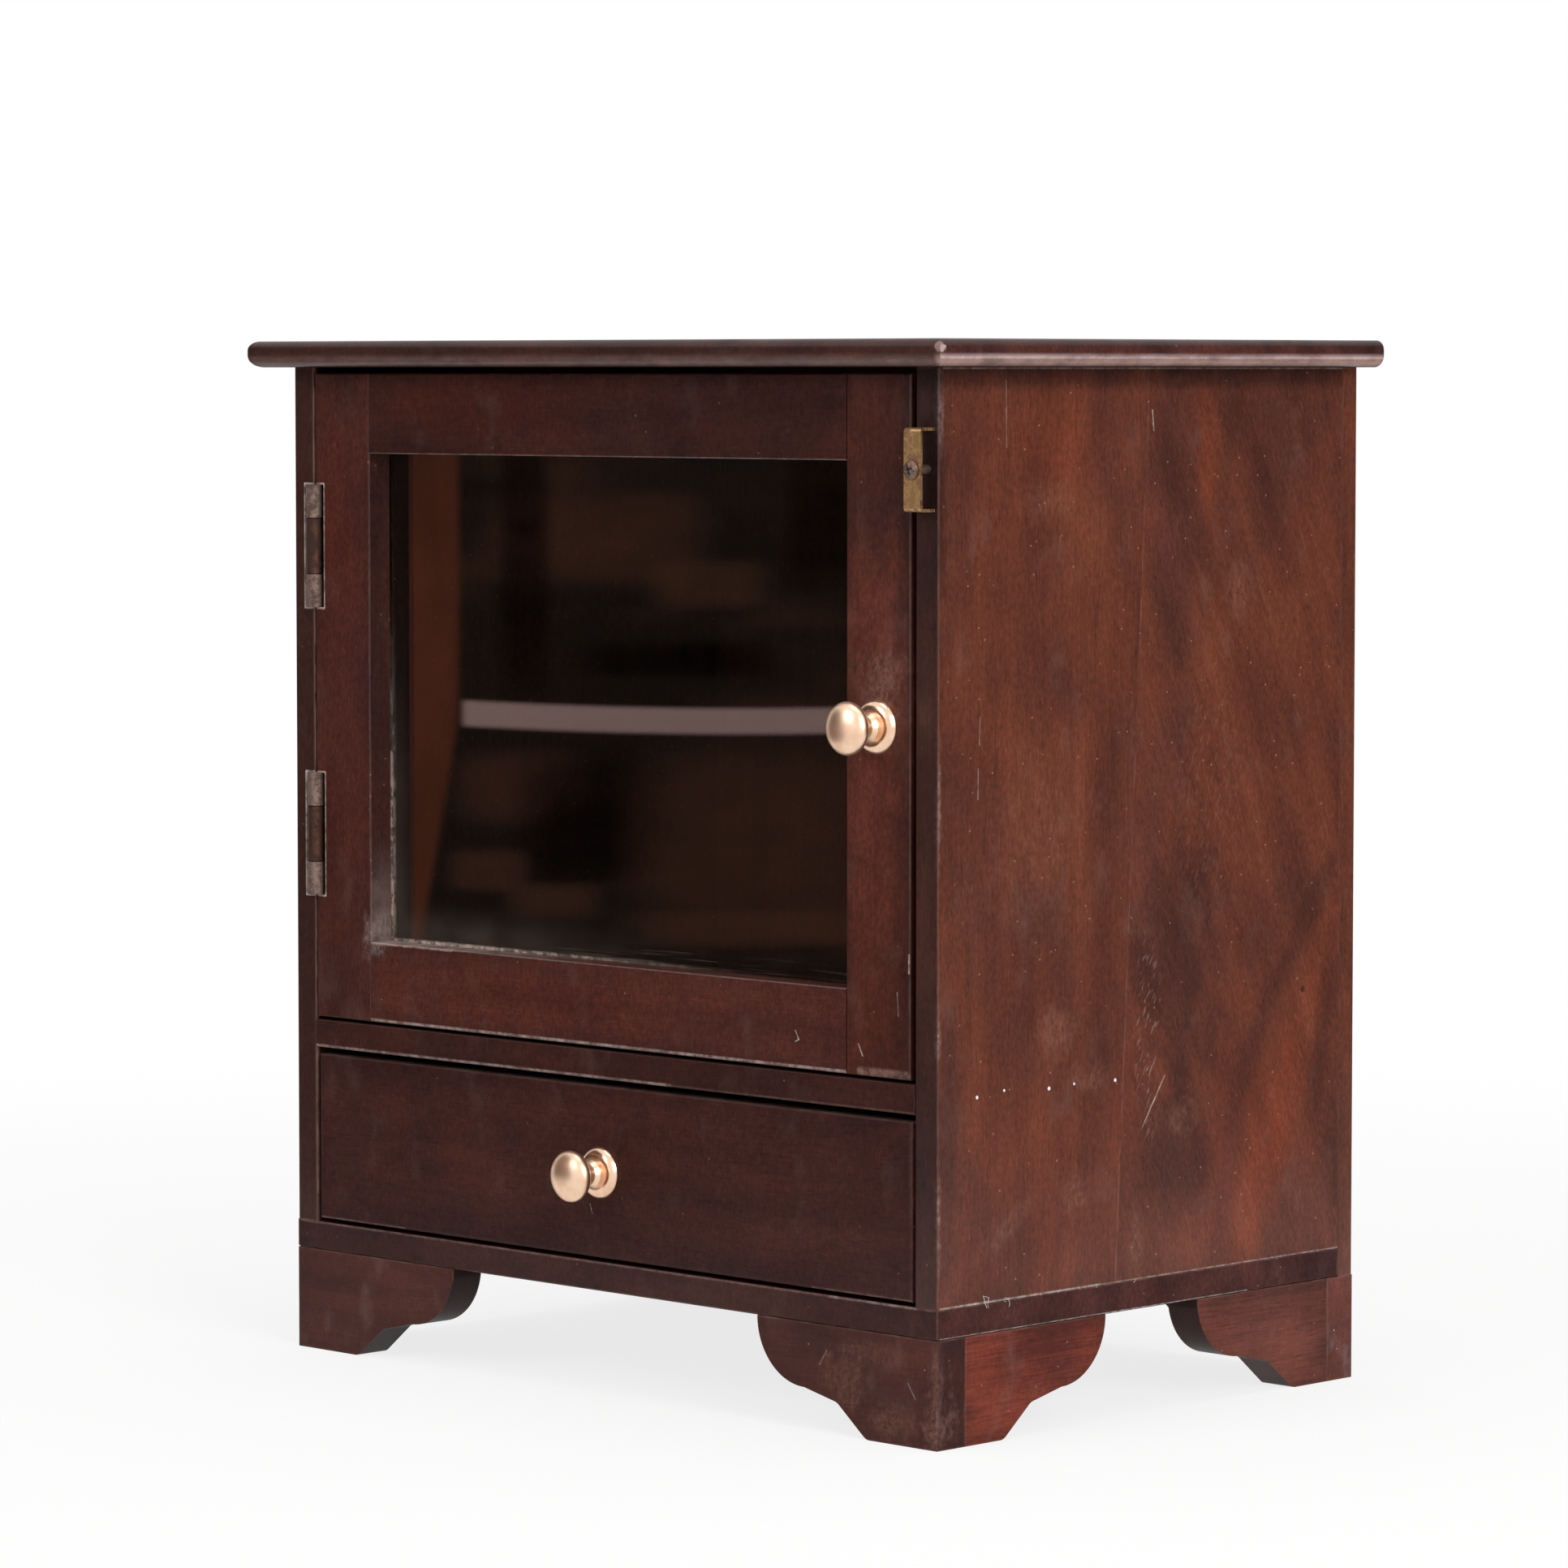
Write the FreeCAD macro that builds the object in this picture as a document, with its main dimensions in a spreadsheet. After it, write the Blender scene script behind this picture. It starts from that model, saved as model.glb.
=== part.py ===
import FreeCAD, Part
import Sketcher
import os
import re

# A small table-top display cabinet: a glazed door above one drawer, on scrolled bracket feet.
# Lengths are in millimetres. X runs to the right along the front, Y from the front to the back
# and Z up from the underside of the feet. The origin is below the middle of the whole cabinet,
# knobs included.

DRIVING_SIZES = {
    # Carcass boards
    "carcass_width": 375.0,
    "carcass_depth": 252.0,
    "side_thick": 12.0,
    "back_thick": 9.5,
    "base_thick": 12.0,
    "divider_thick": 12.0,
    "drawer_space": 75.0,
    "door_space": 277.0,
    "edge_ease": 0.6,
    # Top board
    "top_thick": 11.0,
    "top_overhang": 14.0,
    "top_round_above": 4.0,
    "top_round_below": 5.0,
    # Bracket feet
    "foot_height": 43.0,
    "foot_length": 98.0,
    "foot_thick": 16.0,
    "foot_belly": 26.0,
    "foot_cove_reach": 54.0,
    "foot_cove_height": 13.0,
    "foot_toe": 38.0,
    "foot_round": 5.0,
    # Door frame and its gaps
    "door_thick": 18.0,
    "door_gap_hinge": 1.0,
    "door_gap_lock": 2.8,
    "door_gap_above": 2.5,
    "door_gap_below": 1.2,
    "stile_width": 34.3,
    "rail_width": 33.7,
    "tenon_length": 16.0,
    "tenon_thick": 5.0,
    "tenon_shoulder": 9.0,
    # Glazing
    "rebate_width": 6.0,
    "rebate_depth": 6.5,
    "glass_thick": 2.5,
    "glass_clearance": 0.5,
    "bead_chamfer": 2.0,
    # Door stop
    "stop_thick": 10.0,
    "stop_length": 60.0,
    "stop_clearance": 0.3,
    # Butt hinges
    "hinge_length": 52.0,
    "hinge_from_top": 73.0,
    "hinge_from_bottom": 78.0,
    "barrel_radius": 3.5,
    "knuckle_length": 14.0,
    "knuckle_gap": 0.4,
    "pin_radius": 1.5,
    "pin_clearance": 0.05,
    "leaf_thick": 1.8,
    "leaf_reach": 15.0,
    "leaf_gap": 0.6,
    "barrel_room": 2.0,
    "hinge_screw_spread": 32.0,
    "hinge_screw_reach": 10.0,
    "hinge_screw_length": 9.0,
    "hinge_screw_radius": 1.5,
    "hinge_screw_head": 2.8,
    "screw_clearance": 0.1,
    # Knobs
    "knob_reach": 22.5,
    "knob_head_radius": 10.5,
    "knob_head_half": 5.4,
    "knob_neck_radius": 4.6,
    "knob_collar_radius": 5.8,
    "knob_collar_height": 1.8,
    "rosette_radius": 10.7,
    "rosette_rim": 1.4,
    "rosette_height": 4.2,
    "rosette_crown": 6.4,
    "knob_screw_radius": 2.0,
    "knob_screw_grip": 8.0,
    "knob_screw_head": 3.8,
    "knob_screw_cap": 2.2,
    # Turn catch
    "catch_length": 32.4,
    "catch_height": 8.8,
    "catch_sheet": 1.2,
    "catch_stand": 8.5,
    "catch_bend": 1.8,
    "catch_clearance": 0.3,
    "catch_from_top": 39.3,
    "catch_screw_radius": 2.0,
    "catch_screw_head": 3.7,
    "catch_screw_dome": 1.6,
    "catch_screw_rim": 0.6,
    "catch_screw_bite": 15.0,
    # Drawer
    "drawer_front_thick": 15.0,
    "drawer_front_round": 1.5,
    "drawer_gap_side": 2.0,
    "drawer_gap_above": 3.0,
    "drawer_gap_below": 1.5,
    "drawer_running_gap": 0.3,
    "drawer_gap_back": 0.5,
    "drawer_board": 9.0,
    "drawer_side_height": 58.0,
    "drawer_lap": 7.0,
    "drawer_bottom_thick": 4.0,
    "drawer_groove_depth": 5.0,
    "drawer_groove_height": 8.0,
}

# Planes and sizes that follow from the driving sizes
DERIVED = {
    "front": "(knob_reach - carcass_depth) / 2",
    "back": "front + carcass_depth",
    "back_board_front": "back - back_thick",
    "half_width": "carcass_width / 2",
    "inner_half": "half_width - side_thick",
    "board_depth": "carcass_depth - back_thick",
    "base_top": "foot_height + base_thick",
    "divider_bottom": "base_top + drawer_space",
    "divider_top": "divider_bottom + divider_thick",
    "carcass_top": "divider_top + door_space",
    "door_left": "door_gap_hinge - inner_half",
    "door_right": "inner_half - door_gap_lock",
    "door_bottom": "divider_top + door_gap_below",
    "door_top": "carcass_top - door_gap_above",
    "door_height": "door_top - door_bottom",
    "door_middle": "(door_top + door_bottom) / 2",
    "door_back": "front + door_thick",
    "window_left": "door_left + stile_width",
    "window_right": "door_right - stile_width",
    "window_width": "window_right - window_left",
    "window_bottom": "door_bottom + rail_width",
    "window_top": "door_top - rail_width",
    "window_height": "window_top - window_bottom",
    "tenon_depth": "front + (door_thick - rebate_depth - tenon_thick) / 2",
    "tenon_height": "rail_width - 2 * tenon_shoulder",
    "glass_front": "door_back - rebate_depth",
    "glass_hold": "rebate_width - glass_clearance",
    "bead_front": "glass_front + glass_thick",
    "bead_thick": "rebate_depth - glass_thick",
    "hinge_axis": "door_left - door_gap_hinge / 2",
    "barrel_swing": "barrel_radius + knuckle_gap",
    "leaf_face": "leaf_gap / 2",
    "leaf_bed": "leaf_gap / 2 + leaf_thick",
    "lock_stile_middle": "door_right - stile_width / 2",
    "catch_screw_across": "half_width - side_thick / 2",
    "catch_up": "carcass_top - catch_from_top",
    "drawer_half": "inner_half - drawer_gap_side",
    "drawer_front_bottom": "base_top + drawer_gap_below",
    "drawer_front_height": "drawer_space - drawer_gap_above - drawer_gap_below",
    "drawer_front_middle": "drawer_front_bottom + drawer_front_height / 2",
    "drawer_floor": "base_top + drawer_running_gap",
    "drawer_back_end": "back_board_front - drawer_gap_back",
    "drawer_side_front": "front + drawer_lap",
    "drawer_groove_low": "drawer_floor + drawer_groove_height",
    "drawer_bottom_top": "drawer_groove_low + drawer_bottom_thick",
    "drawer_inner_half": "drawer_half - drawer_board",
    "drawer_bottom_half": "drawer_inner_half + drawer_groove_depth",
    "drawer_bottom_front": "front + drawer_front_thick - drawer_groove_depth",
    "drawer_back_front": "drawer_back_end - drawer_board",
}

doc = FreeCAD.newDocument("display_cabinet")
sheet = doc.addObject("Spreadsheet::Sheet", "Sizes")
for row, (alias, length) in enumerate(DRIVING_SIZES.items(), start=1):
    sheet.set("A%d" % row, alias)
    sheet.set("B%d" % row, str(length))
    sheet.setAlias("B%d" % row, alias)
doc.recompute()

# Every finished piece, under the name of its node
pieces = {}


def formula(text):
    """Spell a formula out in cells of the sheet, with each derived name as its own formula."""
    def spell(match):
        word = match.group(0)
        if word in DERIVED:
            return "(" + formula(DERIVED[word]) + ")"
        return "Sizes." + word
    return re.sub(r"[a-z][a-z_]+", spell, text)


def number(text):
    """The length that a formula comes to."""
    return float(sheet.evalExpression(formula(text)))


def bind(item, sizes):
    """Tie an item's properties to formulas."""
    for prop, text in sizes.items():
        item.setExpression(prop, formula(text))


def place(item, across, deep, up, turn=None):
    """Tie an item's position to formulas, after turning it about an axis by an angle in degrees."""
    if turn:
        axis, degrees = turn
        item.Placement = FreeCAD.Placement(FreeCAD.Vector(), FreeCAD.Rotation(axis, degrees))
    bind(item, {"Placement.Base.x": across, "Placement.Base.y": deep, "Placement.Base.z": up})


def keep(name, item):
    """Finish a piece: its label names its node."""
    item.Label = name
    pieces[name] = item
    return item


AXIS_X = FreeCAD.Vector(1, 0, 0)
AXIS_Y = FreeCAD.Vector(0, 1, 0)
AXIS_Z = FreeCAD.Vector(0, 0, 1)
# Turns that lay a solid made along +Z on its side
TO_FRONT = (AXIS_X, 90)
TO_BACK = (AXIS_X, -90)
TO_RIGHT = (AXIS_Y, 90)
TO_LEFT = (AXIS_Y, -90)


def block(name, low, size):
    """A plain rectangular block, from its lowest corner and its size."""
    solid = doc.addObject("Part::Box", name)
    bind(solid, dict(zip(("Length", "Width", "Height"), size)))
    place(solid, *low)
    return solid


def rod(name, radius, length, at, turn=None):
    """A round rod that starts at a point and runs along +Z, or the way it is turned."""
    solid = doc.addObject("Part::Cylinder", name)
    bind(solid, {"Radius": radius, "Height": length})
    place(solid, *at, turn=turn)
    return solid


def taper(name, first_radius, last_radius, length, at, turn=None):
    """A cone cut off square, from one radius to another."""
    solid = doc.addObject("Part::Cone", name)
    bind(solid, {"Radius1": first_radius, "Radius2": last_radius, "Height": length})
    place(solid, *at, turn=turn)
    return solid


def join(name, solids):
    """Several solids that are one piece of material."""
    whole = doc.addObject("Part::MultiFuse", name)
    whole.Shapes = solids
    return whole


def carve(name, stock, tools):
    """What is left of the stock after each tool has been cut out of it."""
    for count, tool in enumerate(tools, start=1):
        cut = doc.addObject("Part::Cut", "%s_cut_%d" % (name, count))
        cut.Base = stock
        cut.Tool = tool
        stock = cut
    return stock


def faces_edges(shape, sides):
    """The names of the edges that bound the faces on the given sides of a box-like shape."""
    box = shape.BoundBox
    limits = {
        "left": ("x", box.XMin), "right": ("x", box.XMax),
        "front": ("y", box.YMin), "back": ("y", box.YMax),
        "under": ("z", box.ZMin), "over": ("z", box.ZMax),
    }
    found = []
    for index, edge in enumerate(shape.Edges, start=1):
        middle = edge.CenterOfMass
        near = [abs(getattr(middle, limits[side][0]) - limits[side][1]) < 1e-6 for side in sides]
        if all(near):
            found.append("Edge%d" % index)
    return found


def board(name, low, size, eased):
    """A sawn board. Each entry of eased names the two sides that meet in an edge to be eased."""
    body = doc.addObject("PartDesign::Body", name)
    stock = body.newObject("PartDesign::AdditiveBox", name + "_stock")
    bind(stock, dict(zip(("Length", "Width", "Height"), size)))
    doc.recompute()
    edges = []
    for sides in eased:
        edges += faces_edges(stock.Shape, sides)
    if edges:
        chamfer = body.newObject("PartDesign::Chamfer", name + "_ease")
        chamfer.Base = (stock, edges)
        bind(chamfer, {"Size": "edge_ease"})
    place(body, *low)
    return body


def outline(body, name, plane, corners):
    """A closed outline in one of a body's own planes.

    A corner is (across, up) or (across, up, radius). With a radius, the side that leaves the
    corner is an arc that bulges to the right of its way round, as it does on a convex outline
    that is followed with the material on the left.
    """
    sketch = body.newObject("Sketcher::SketchObject", name)
    support = [item for item in body.Origin.OriginFeatures if item.Role == plane]
    sketch.AttachmentSupport = [(support[0], "")]
    sketch.MapMode = "FlatFace"
    points = [FreeCAD.Vector(number(corner[0]), number(corner[1]), 0) for corner in corners]
    count = len(corners)
    for index, corner in enumerate(corners):
        start = points[index]
        end = points[(index + 1) % count]
        if len(corner) == 2:
            sketch.addGeometry(Part.LineSegment(start, end), False)
            continue
        radius = number(corner[2])
        chord = end - start
        sag = (radius ** 2 - (chord.Length / 2) ** 2) ** 0.5
        inward = AXIS_Z.cross(chord).normalize()
        bulge = (start + end) / 2 + inward * (sag - radius)
        sketch.addGeometry(Part.Arc(start, bulge, end), False)
    for index, corner in enumerate(corners):
        sketch.addConstraint(Sketcher.Constraint("Coincident", index, 2, (index + 1) % count, 1))
        for kind, text in zip(("DistanceX", "DistanceY"), corner):
            rule = sketch.addConstraint(Sketcher.Constraint(kind, -1, 1, index, 1, number(text)))
            sketch.setExpression("Constraints[%d]" % rule, formula(text))
        if len(corner) == 3:
            rule = sketch.addConstraint(Sketcher.Constraint("Radius", index, number(corner[2])))
            sketch.setExpression("Constraints[%d]" % rule, formula(corner[2]))
    return sketch


def pad(body, name, sketch, length):
    """An outline drawn out to a thickness, towards the back of its plane."""
    solid = body.newObject("PartDesign::Pad", name)
    solid.Profile = sketch
    bind(solid, {"Length": length})
    return solid


def turned(body, name, sketch):
    """An outline turned round the upright axis of its sketch, as on a lathe."""
    solid = body.newObject("PartDesign::Revolution", name)
    solid.Profile = sketch
    solid.ReferenceAxis = (sketch, ["V_Axis"])
    solid.Angle = 360
    return solid


# Carcass

def side_panels():
    """The two side boards, the left one let in for the hinges, the right one bored for the catch."""
    size = ("side_thick", "board_depth", "carcass_top - base_top")
    eased = [("left", "front"), ("right", "front")]
    left = board("side_panel_left_board", ("-half_width", "front", "base_top"), size, eased)
    keep("side_panel_left", carve("side_panel_left", left, hinge_beds("side") + hinge_bores("side")))
    right = board("side_panel_right_board", ("inner_half", "front", "base_top"), size, eased)
    bore = rod("catch_screw_bore", "catch_screw_radius + pin_clearance", "catch_screw_bite",
               ("catch_screw_across", "front", "catch_up"), TO_BACK)
    keep("side_panel_right", carve("side_panel_right", right, [bore]))


def flat_boards():
    """Base, divider and back: plain boards, butted together."""
    keep("base_board", board("base_board", ("-half_width", "front", "foot_height"),
                             ("carcass_width", "board_depth", "base_thick"),
                             [("front", "under"), ("left", "under"), ("right", "under")]))
    keep("divider_board", board("divider_board", ("-inner_half", "front", "divider_bottom"),
                                ("2 * inner_half", "board_depth", "divider_thick"),
                                [("front", "under"), ("front", "over")]))
    keep("back_board", board("back_board", ("-half_width", "back_board_front", "foot_height"),
                             ("carcass_width", "back_thick", "carcass_top - foot_height"),
                             [("back", "left"), ("back", "right"), ("back", "under")]))


def nose_edges(shape, level):
    """The edges of the top board that get a nose: the front one and both ends, above or below."""
    return [faces_edges(shape, (level, side))[0] for side in ("front", "left", "right")]


def top_board():
    """The top, flush at the back, with a full rounded nose along the front and both ends."""
    body = doc.addObject("PartDesign::Body", "top_board")
    stock = body.newObject("PartDesign::AdditiveBox", "top_stock")
    bind(stock, {"Length": "carcass_width + 2 * top_overhang",
                 "Width": "carcass_depth + top_overhang", "Height": "top_thick"})
    doc.recompute()
    above = body.newObject("PartDesign::Fillet", "top_nose_above")
    above.Base = (stock, nose_edges(stock.Shape, "over"))
    bind(above, {"Radius": "top_round_above"})
    doc.recompute()
    below = body.newObject("PartDesign::Fillet", "top_nose_below")
    below.Base = (above, nose_edges(above.Shape, "under"))
    bind(below, {"Radius": "top_round_below"})
    place(body, "-half_width - top_overhang", "front - top_overhang", "carcass_top")
    keep("top_board", body)


def foot_bracket(name, start, across, deep, turn):
    """One scrolled bracket: a flat toe, a cove, a short sloping step and a round belly."""
    body = doc.addObject("PartDesign::Body", name)
    sketch = outline(body, name + "_outline", "XZ_Plane", [
        (start, "0"),
        ("foot_toe", "0"),
        ("foot_cove_reach", "foot_cove_height"),
        ("foot_length - foot_belly", "foot_height - foot_belly", "foot_belly"),
        ("foot_length", "foot_height"),
        (start, "foot_height"),
    ])
    solid = pad(body, name + "_pad", sketch, "foot_thick")
    doc.recompute()
    softened = []
    for index, edge in enumerate(solid.Shape.Edges, start=1):
        middle = edge.CenterOfMass
        along_grain = abs(edge.BoundBox.YLength - number("foot_thick")) < 1e-6
        in_scroll = number("foot_toe") - 1 < middle.x < number("foot_cove_reach") + 1
        if along_grain and in_scroll and middle.z < number("foot_cove_height") + 1:
            softened.append("Edge%d" % index)
    scroll = body.newObject("PartDesign::Fillet", name + "_scroll")
    scroll.Base = (solid, softened)
    bind(scroll, {"Radius": "foot_round"})
    place(body, across, deep, "0", turn)
    keep(name, body)


def feet():
    """Four feet of two brackets each: the long grain of the side ones butts against the others."""
    corners = (("left", "-half_width", "foot_thick", 0), ("right", "half_width", "0", 180))
    for side, corner, inset, degrees in corners:
        turn = (AXIS_Z, degrees)
        foot_bracket("foot_front_" + side, "0", corner, "front + " + inset, turn)
        foot_bracket("foot_back_" + side, "0", corner, "back - foot_thick + " + inset, turn)
    for side, corner in (("left", "-half_width"), ("right", "half_width - foot_thick")):
        foot_bracket("foot_side_front_" + side, "foot_thick", corner, "front", (AXIS_Z, 90))
        inner = corner + " + foot_thick"
        foot_bracket("foot_side_back_" + side, "foot_thick", inner, "back", (AXIS_Z, -90))


# Hinges

HINGES = {"upper": "door_top - hinge_from_top", "lower": "door_bottom + hinge_from_bottom"}
# Which way each leaf lies from the hinge axis, and the turn of a screw driven through it
LEAVES = {"side": (-1, TO_LEFT), "door": (1, TO_RIGHT)}


def beside_axis(way, near, thick):
    """Where a slab starts that begins some way from the hinge axis, on one side of it or the other."""
    if way > 0:
        return "hinge_axis + " + near
    return "hinge_axis - %s - %s" % (near, thick)


def hinge_beds(leaf):
    """What is cut from the wood for both hinges: a bed for the leaf and room round the barrel."""
    way = LEAVES[leaf][0]
    tools = []
    for hinge, middle in HINGES.items():
        low = "%s - hinge_length / 2" % middle
        bed = block("%s_bed_%s" % (leaf, hinge),
                    (beside_axis(way, "0", "leaf_bed"), "front", low),
                    ("leaf_bed", "leaf_reach", "hinge_length"))
        room = block("%s_room_%s" % (leaf, hinge),
                     (beside_axis(way, "0", "(barrel_swing + barrel_room)"), "front", low),
                     ("barrel_swing + barrel_room", "barrel_swing", "hinge_length"))
        tools += [bed, room]
    return tools


def hinge_screw(name, leaf, middle, clearance):
    """A countersunk screw through a leaf, or with a clearance the bore that takes it."""
    way, turn = LEAVES[leaf]
    face = "hinge_axis + leaf_face" if way > 0 else "hinge_axis - leaf_face"
    at = (face, "front + hinge_screw_reach", middle)
    radius = "hinge_screw_radius + " + clearance
    head = taper(name + "_head", "hinge_screw_head + " + clearance, radius, "leaf_thick", at, turn)
    shank = rod(name + "_shank", radius, "hinge_screw_length + " + clearance, at, turn)
    return join(name, [head, shank])


def screw_heights(middle):
    """The heights of the two screws of one leaf."""
    return [middle + sign + "hinge_screw_spread / 2" for sign in (" - ", " + ")]


def hinge_bores(leaf):
    """The bores for every screw of one kind of leaf, in the leaves and in the wood behind them."""
    bores = []
    for hinge, middle in HINGES.items():
        for count, height in enumerate(screw_heights(middle), start=1):
            name = "%s_leaf_bore_%s_%d" % (leaf, hinge, count)
            bores.append(doc.getObject(name) or hinge_screw(name, leaf, height, "screw_clearance"))
    return bores


def hinge_leaf(hinge, middle, leaf, knuckles):
    """A leaf with its knuckles, each given by its lower end and its length."""
    way = LEAVES[leaf][0]
    name = "hinge_%s_%s_leaf" % (hinge, leaf)
    low = "%s - hinge_length / 2" % middle
    start = beside_axis(way, "leaf_face", "leaf_thick")
    solids = [block(name + "_plate", (start, "front + barrel_swing", low),
                    ("leaf_thick", "leaf_reach - barrel_swing", "hinge_length"))]
    for count, (foot, length) in enumerate(knuckles, start=1):
        height = "%s + %s" % (low, foot)
        solids.append(block("%s_tab_%d" % (name, count), (start, "front", height),
                            ("leaf_thick", "barrel_swing", length)))
        solids.append(rod("%s_knuckle_%d" % (name, count), "barrel_radius", length,
                          ("hinge_axis", "front", height)))
    bore = rod(name + "_pin_bore", "pin_radius + pin_clearance", "hinge_length",
               ("hinge_axis", "front", low))
    bores = [item for item in hinge_bores(leaf) if hinge in item.Name]
    keep(name, carve(name, join(name + "_stock", solids), [bore] + bores))


def hinges():
    """Two butt hinges of three knuckles: the side leaf has the outer two, the door leaf the middle one."""
    outer = [("0", "knuckle_length"),
             ("hinge_length - knuckle_length", "knuckle_length")]
    inner = [("knuckle_length + knuckle_gap", "hinge_length - 2 * knuckle_length - 2 * knuckle_gap")]
    for hinge, middle in HINGES.items():
        hinge_leaf(hinge, middle, "side", outer)
        hinge_leaf(hinge, middle, "door", inner)
        keep("hinge_%s_pin" % hinge, rod("hinge_%s_pin" % hinge, "pin_radius", "hinge_length",
                                         ("hinge_axis", "front", "%s - hinge_length / 2" % middle)))
    for leaf in LEAVES:
        group = doc.addObject("Part::Compound", "hinge_screws_" + leaf)
        group.Links = [
            hinge_screw("%s_screw_%s_%d" % (leaf, hinge, count), leaf, height, "0")
            for hinge, middle in HINGES.items()
            for count, height in enumerate(screw_heights(middle), start=1)
        ]
        keep("hinge_screws_" + leaf, group)


# Knobs

def knob_set(name, wood_thick, across, up):
    """A turned brass knob on its rosette, held by a screw from behind. Gives the bore for the screw."""
    rosette = doc.addObject("PartDesign::Body", name + "_rosette_body")
    turned(rosette, name + "_rosette_turning", outline(rosette, name + "_rosette_outline", "XZ_Plane", [
        ("knob_screw_radius + screw_clearance", "0"),
        ("rosette_radius", "0"),
        ("rosette_radius", "rosette_rim", "rosette_radius - rosette_crown"),
        ("rosette_crown", "rosette_height"),
        ("knob_screw_radius + screw_clearance", "rosette_height"),
    ]))
    place(rosette, across, "front", up, TO_FRONT)
    keep(name + "_rosette", rosette)

    body = doc.addObject("PartDesign::Body", name + "_body")
    head_middle = "knob_reach - knob_head_half"
    turned(body, name + "_neck", outline(body, name + "_neck_outline", "XZ_Plane", [
        ("0", "rosette_height"),
        ("knob_collar_radius", "rosette_height"),
        ("knob_collar_radius", "rosette_height + knob_collar_height"),
        ("knob_neck_radius", "rosette_height + 2 * knob_collar_height"),
        ("knob_neck_radius", head_middle),
        ("0", head_middle),
    ]))
    head = body.newObject("PartDesign::AdditiveEllipsoid", name + "_head")
    bind(head, {"Radius1": "knob_head_half", "Radius2": "knob_head_radius", "Radius3": "knob_head_radius",
                "Placement.Base.z": head_middle})
    place(body, across, "front", up, TO_FRONT)

    wood_back = "front + " + wood_thick
    bore_length = "%s + rosette_height + knob_screw_grip" % wood_thick
    bore = rod(name + "_bore", "knob_screw_radius + screw_clearance", bore_length + " + screw_clearance",
               (across, wood_back, up), TO_FRONT)
    keep(name, carve(name, body, [bore]))
    shank = rod(name + "_screw_shank", "knob_screw_radius", bore_length, (across, wood_back, up), TO_FRONT)
    cap = rod(name + "_screw_cap", "knob_screw_head", "knob_screw_cap", (across, wood_back, up), TO_BACK)
    keep(name + "_screw", join(name + "_screw", [shank, cap]))
    return bore


# Door

def door():
    """A frame of two stiles and two tenoned rails, with the pane beaded into a rebate at the back."""
    rebate = block("door_rebate",
                   ("window_left - rebate_width", "glass_front", "window_bottom - rebate_width"),
                   ("window_width + 2 * rebate_width", "rebate_depth", "window_height + 2 * rebate_width"))
    mortises = {"left": [], "right": []}
    for rail, low in (("top", "window_top"), ("bottom", "door_bottom")):
        stock = board("door_rail_%s_board" % rail, ("window_left", "front", low),
                      ("window_width", "door_thick", "rail_width"), [("front", "over"), ("front", "under")])
        tenons = []
        for side, start in (("left", "window_left - tenon_length"), ("right", "window_right")):
            name = "door_rail_%s_tenon_%s" % (rail, side)
            tenon = block(name, (start, "tenon_depth", low + " + tenon_shoulder"),
                          ("tenon_length", "tenon_thick", "tenon_height"))
            mortises[side].append(tenon)
            tenons.append(tenon)
        name = "door_rail_" + rail
        keep(name, join(name, [carve(name, stock, [rebate])] + tenons))
    knob_bore = knob_set("door_knob", "door_thick", "lock_stile_middle", "door_middle")
    cuts = {"left": hinge_beds("door") + hinge_bores("door"), "right": [knob_bore]}
    for side, start in (("left", "door_left"), ("right", "window_right")):
        name = "door_stile_" + side
        stock = board(name + "_board", (start, "front", "door_bottom"),
                      ("stile_width", "door_thick", "door_height"),
                      [("front", "left"), ("front", "right"), ("front", "over"), ("front", "under")])
        keep(name, carve(name, stock, [rebate] + mortises[side] + cuts[side]))


def glazing():
    """The pane and the four beads that hold it: two full-height ones and two between them."""
    keep("glass_pane", block("glass_pane",
                             ("window_left - glass_hold", "glass_front", "window_bottom - glass_hold"),
                             ("window_width + 2 * glass_hold", "glass_thick",
                              "window_height + 2 * glass_hold")))
    full_height = "window_height + 2 * rebate_width"
    upright_low = "window_bottom - rebate_width"
    layout = {
        "left": ("window_left - rebate_width", upright_low, "rebate_width", full_height, ("back", "right")),
        "right": ("window_right", upright_low, "rebate_width", full_height, ("back", "left")),
        "top": ("window_left", "window_top", "window_width", "rebate_width", ("back", "under")),
        "bottom": ("window_left", upright_low, "window_width", "rebate_width", ("back", "over")),
    }
    for side, (across, up, width, height, edge) in layout.items():
        name = "glazing_bead_" + side
        body = doc.addObject("PartDesign::Body", name)
        stock = body.newObject("PartDesign::AdditiveBox", name + "_stock")
        bind(stock, {"Length": width, "Width": "bead_thick", "Height": height})
        doc.recompute()
        slope = body.newObject("PartDesign::Chamfer", name + "_slope")
        slope.Base = (stock, faces_edges(stock.Shape, edge))
        bind(slope, {"Size": "bead_chamfer"})
        place(body, across, "bead_front", up)
        keep(name, body)


def door_stop():
    """A small block on the right side board, which the closing stile comes to rest against."""
    keep("door_stop", block("door_stop", ("inner_half - stop_thick", "door_back + stop_clearance",
                                          "door_middle - stop_length / 2"),
                            ("stop_thick", "stop_thick", "stop_length")))


# Turn catch

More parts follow.
